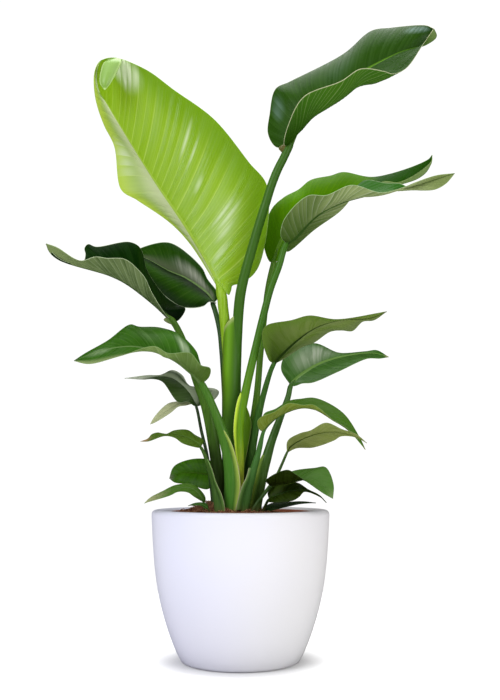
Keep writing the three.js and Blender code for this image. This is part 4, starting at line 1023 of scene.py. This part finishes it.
def leaf_piece(name, entry):
    """The leaf's blade and its stalk with its sheath as one mesh, in place of its plain solid."""
    leaf = Leaf(name, entry)
    look = {**LOOK, **entry["look"]}
    green = [blade(leaf)]
    stem = [stalk(leaf)] + [sheath_wing(leaf, **wing) for wing in entry.get("wings", [])]
    if "curl" in entry:
        green.append(curl(**entry["curl"]))
    if "tube" in entry:
        stem.append(sheath_tube(**entry["tube"]))
    points, faces, place, marks = gather(green + stem)
    which = np.repeat([0, 1], [sum(len(part[1]) for part in parts) for parts in (green, stem)])
    piece = new_piece(leaf.name + "_grown", points, faces,
                      [blade_material(leaf, look), stalk_material(leaf, look)],
                      {"place": place, "marks": marks}, which)
    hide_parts(leaf.name)


# ---------------------------------------------------------------- pot and soil

def arc(x, z, radius, start, end):
    """Profile points on an arc round (x, z), between two angles in degrees."""
    turn = np.radians(np.linspace(start, end, ARC_POINTS))
    return np.stack([x + radius * np.cos(turn), z + radius * np.sin(turn)], axis=-1)


def turned(name, profile, material, node):
    """A surface of revolution, closed on the axis: each profile point (r, z) is a ring."""
    profile = np.asarray(profile, float)
    rings = ring_points(profile[1:-1, 0, None], turns(AROUND), profile[1:-1, 1, None])
    points, faces = closed_rings(rings, [0, 0, profile[0, 1]], [0, 0, profile[-1, 1]])
    piece = new_piece(name, points, faces, [material])
    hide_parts(node)


def planter():
    """The bowl with its rolled rim, from the middle of the underside round to the inside floor."""
    inner = RIM_RADIUS - LIP_WIDTH
    top = PLANTER_HEIGHT - LIP_ROUND
    under_lip = LIP_ROUND - LIP_THICKNESS
    skirt_foot = PLANTER_HEIGHT - SKIRT_DEPTH
    outside = Curve([(r, 0, z) for r, z in BOWL]).at(np.linspace(0, 1, BOWL_POINTS))[:, ::2]
    inside = outside[(outside[:, 1] > INSIDE_LOW) & (outside[:, 1] < skirt_foot)][::-1] - [WALL, 0]
    profile = np.concatenate([
        [(0, 0), (FOOT_RADIUS - 1, 0)], outside,
        arc(RIM_RADIUS - LIP_ROUND, top, LIP_ROUND, 0, 90), arc(inner + LIP_ROUND, top, LIP_ROUND, 90, 180),
        [(inner, skirt_foot), (inner + LIP_THICKNESS, skirt_foot)],
        arc(inner + LIP_ROUND, top, under_lip, 180, 90), arc(RIM_RADIUS - LIP_ROUND, top, under_lip, 90, 0),
        inside, [(FOOT_RADIUS, WALL), (0, WALL)]])
    s = Surface("planter_shell", Roughness=0.35, Specular_IOR_Level=0.25)
    x, _, z = s.split(s.here())
    cloud = s.ease(s.noise(s.here(), 6.0), 0.3, 0.7, 0.0, 0.15)
    # Painted light and shade: bluer to the left as painted cool light, with random clouds, and darker towards
    # the foot as painted shade.
    tint = s.plus(s.ease(x, -PAINTED_COOL_REACH * MM, PAINTED_COOL_REACH * MM, 0.0, 0.85), cloud)
    low, high = (s.mix(tint, *ends) for ends in PLANTER_PAINTED_SHADING)
    s.set(Base_Color=s.mix(s.ease(z, PAINTED_SHADE_LOW * MM, PAINTED_LIGHT_HIGH * MM), low, high))
    s.bump(s.noise(s.here(), GLAZE_GRAIN), 0.00004)
    turned("planter_bowl", profile, s.material, "planter")


def grower_inside(z):
    """The grower pot's inner radius at height z."""
    floor = WALL + GAP + GROWER_WALL
    share = (z - floor) / (GROWER_RIM_HEIGHT - floor)
    return GROWER_FOOT_RADIUS + (GROWER_TOP_RADIUS - GROWER_FOOT_RADIUS) * share - GROWER_WALL


def grower_pot():
    """A tapering pot with a thicker rim."""
    floor = WALL + GAP
    inside_floor = floor + GROWER_WALL
    top = GROWER_RIM_HEIGHT
    under_rim = top - GROWER_RIM_DEPTH
    profile = [
        (0, floor), (GROWER_FOOT_RADIUS, floor), (GROWER_TOP_RADIUS, under_rim),
        (GROWER_RIM_RADIUS, under_rim + CHAMFER), (GROWER_RIM_RADIUS, top - CHAMFER),
        (GROWER_RIM_RADIUS - CHAMFER, top), (grower_inside(top) + CHAMFER / 2, top),
        (grower_inside(top), top - CHAMFER / 2), (grower_inside(inside_floor), inside_floor),
        (0, inside_floor)]
    s = Surface("grower_pot_wall", Roughness=0.6)
    cloud = s.noise(s.here(), 40.0, 4.0)
    s.set(Base_Color=s.mix(s.ease(cloud, 0.3, 0.7), *GROWER_COLOURS))
    s.bump(s.noise(s.here(), 500.0, 3.0), 0.0001)
    turned("grower_pot_shell", profile, s.material, "grower_pot")


def bell(x, y, mound):
    """1 in the middle of a mound, falling off to all sides by a bell curve."""
    return np.exp(-((x - mound["x"]) ** 2 + (y - mound["y"]) ** 2) / (2 * mound["spread"] ** 2))


def soil_top(x, y):
    """A bell-shaped mound with two crossing waves on it."""
    w = LUMP_WAVES
    lumps = np.sin(x * w["x"] + w["phase"]) * np.cos(y * w["y"]) + np.sin(x * w["slant_x"] + y * w["slant_y"])
    return SOIL_LEVEL + MOUND["height"] * bell(x, y, MOUND) + SOIL_LUMPS * lumps


def ruffle(x, y, draw):
    """A sum of short waves of random direction, for crumbs of soil."""
    waves = draw.normal(0, 0.55, (CRUMB_WAVES, 2))
    phases = draw.uniform(0, 2 * np.pi, CRUMB_WAVES)
    swings = x[..., None] * waves[:, 0] + y[..., None] * waves[:, 1] + phases
    return np.sin(swings).sum(axis=-1) / CRUMB_WAVES ** 0.5


def soil_material(name, dark, light):
    """Coir: light grains on dark, with dark patches."""
    s = Surface(name, Roughness=0.92, Specular_IOR_Level=0.2)
    grain = s.noise(s.here(), 420.0, 5.0, 0.7)
    patch = s.noise(s.here(), 90.0, 3.0)
    made = s.mix(s.ease(grain, 0.35, 0.65), dark, light)
    s.set(Base_Color=s.mix(s.ease(patch, 0.45, 0.7, 0.0, 0.5), made, dark))
    s.bump(grain, 0.0012)
    return s.material


def soil(draw):
    """A disc of soil: rings of points out to the grower pot's wall, their height from soil_top and
    a ruffle, with a straight side and a flat underside."""
    floor = WALL + GAP + GROWER_WALL + GAP
    edge = grower_inside(SOIL_LEVEL) - GAP
    radius = edge * np.linspace(1, INNERMOST_RING, SOIL_RINGS)[:, None]
    turn = turns(SOIL_SIDES)
    x, y = radius * np.cos(turn), radius * np.sin(turn)
    crumbs = CRUMB_HEIGHT * ruffle(x, y, draw) * smooth(edge - radius, 0, CRUMB_FREE)
    top = soil_top(x, y) + crumbs - SOIL_SINK
    bottom = ring_points(grower_inside(floor) - GAP, turn, floor)[None]
    rings = np.concatenate([bottom, ring_points(radius, turn, top)])
    points, faces = closed_rings(rings, [0, 0, floor], [0, 0, top[-1].mean()])
    piece = new_piece("soil_coir", points, faces, [soil_material("coir_crumbs", *CRUMB_COLOURS)])
    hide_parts("soil")


def coir_fibres(draw):
    """Short curled strands on the soil: each a thin tube along an arc that starts and ends in the
    surface, placed at random and all worked out at once. A third of them lie on the heap."""
    edge = grower_inside(SOIL_LEVEL) - FIBRE_FREE
    radius = edge * np.sqrt(draw.uniform(0, 1, FIBRES))
    bearing = draw.uniform(0, 2 * np.pi, FIBRES)
    x, y = radius * np.cos(bearing), radius * np.sin(bearing)
    clump = FIBRES // 3
    x[:clump] = HEAP["x"] + HEAP["spread"] * draw.normal(0, 1, clump)
    y[:clump] = HEAP["y"] + HEAP["spread"] * draw.normal(0, 1, clump)
    length = draw.uniform(5, 16, FIBRES)
    heading = draw.uniform(0, 2 * np.pi, FIBRES)
    bend = draw.normal(0, 1.1, FIBRES)
    lift = draw.uniform(0.4, 3.0, FIBRES) + HEAP["height"] * bell(x, y, HEAP) * draw.uniform(0, 1, FIBRES)
    t = np.linspace(0, 1, FIBRE_STEPS)
    angle = heading[:, None] + bend[:, None] * t
    step = length[:, None] / (FIBRE_STEPS - 1)
    px = x[:, None] + np.cumsum(step * np.cos(angle), axis=1)
    py = y[:, None] + np.cumsum(step * np.sin(angle), axis=1)
    pull = np.minimum(1, edge / np.maximum(np.hypot(px, py), 1e-6))
    px, py = px * pull, py * pull
    pz = soil_top(px, py) + lift[:, None] * np.sin(np.pi * t) - FIBRE_SINK
    path = np.stack([px, py, pz], axis=-1)
    ahead = unit(np.gradient(path, axis=1))
    side = unit(np.cross(ahead, [0, 0, 1.0]))
    thick = draw.uniform(0.2, 0.6, FIBRES)[:, None] * (1 - 0.6 * np.abs(2 * t - 1))
    points = tube_points(path, side, np.cross(side, ahead), thick, thick, FIBRE_SIDES)
    ring = np.arange(FIBRE_SIDES)
    strand = FIBRE_STEPS * FIBRE_SIDES
    shift = (np.arange(FIBRES) * strand)[:, None, None]
    caps = np.array([ring[::-1], strand - FIBRE_SIDES + ring])
    sides = grid_faces(FIBRE_STEPS, FIBRE_SIDES, around=True)
    faces = (sides + shift).reshape(-1, 4).tolist() + (caps + shift).reshape(-1, FIBRE_SIDES).tolist()
    new_piece("soil_fibres", points.reshape(-1, 3), faces, [soil_material("coir_strands", *STRAND_COLOURS)])


# ---------------------------------------------------------------- stage

def stage():
    """A white floor that glows more away from the planter, a painted light, a white world, soft boxes and the
    camera.
    """
    disc = bpy.data.meshes.new("floor")
    rim = ring_points(FLOOR_RADIUS, turns(FLOOR_SIDES), 0)
    disc.from_pydata(rim.tolist(), [], [list(range(FLOOR_SIDES))])
    floor = add_object("floor", disc)
    s = Surface("floor_paper", Roughness=0.9, Emission_Color=WHITE)
    # The glow is a painted light, weaker close to the planter.
    s.set(Base_Color=s.mix(s.noise(s.here(), 3.0), *FLOOR_PAPER),
          Emission_Strength=s.ease(s.length(s.here()), *FLOOR_GLOW))
    disc.materials.append(s.material)
    floor.visible_glossy = False

    world = bpy.data.worlds.new("white_room")
    bpy.context.scene.world = world
    world.use_nodes = True
    room = Nodes(world.node_tree)
    background = room.tree.nodes["Background"].inputs
    rays = room.outputs("ShaderNodeLightPath", {})
    level = 0.0
    for kind, strength in RAY_LEVELS.items():
        level = room.plus(level, room.times(rays[kind], strength))
    room.put(background["Color"], WHITE)
    room.put(background["Strength"], level)

    for name, place, aim, size, power, colour in SOFT_BOXES:
        light = bpy.data.lights.new(name, "AREA")
        light.shape = "RECTANGLE"
        light.size = light.size_y = size
        light.energy = power
        light.color = colour
        lamp = add_object(name, light)
        lamp.location = place
        lamp.rotation_euler = (Vector(aim) - Vector(place)).to_track_quat("-Z", "Y").to_euler()

    lens = bpy.data.cameras.new("camera")
    lens.sensor_width = SENSOR
    lens.lens = SENSOR * FOCAL_PIXELS / IMAGE_HEIGHT
    camera = add_object("camera", lens)
    camera.location = CAMERA_PLACE
    camera.rotation_euler = (math.radians(90 + CAMERA_PITCH), 0, 0)
    bpy.context.scene.camera = camera
    bpy.context.scene.view_settings.view_transform = "Standard"


stage()
draw = np.random.default_rng(SEED)
planter()
grower_pot()
soil(draw)
coir_fibres(draw)
for name, entry in LEAVES.items():
    leaf_piece(name, entry)
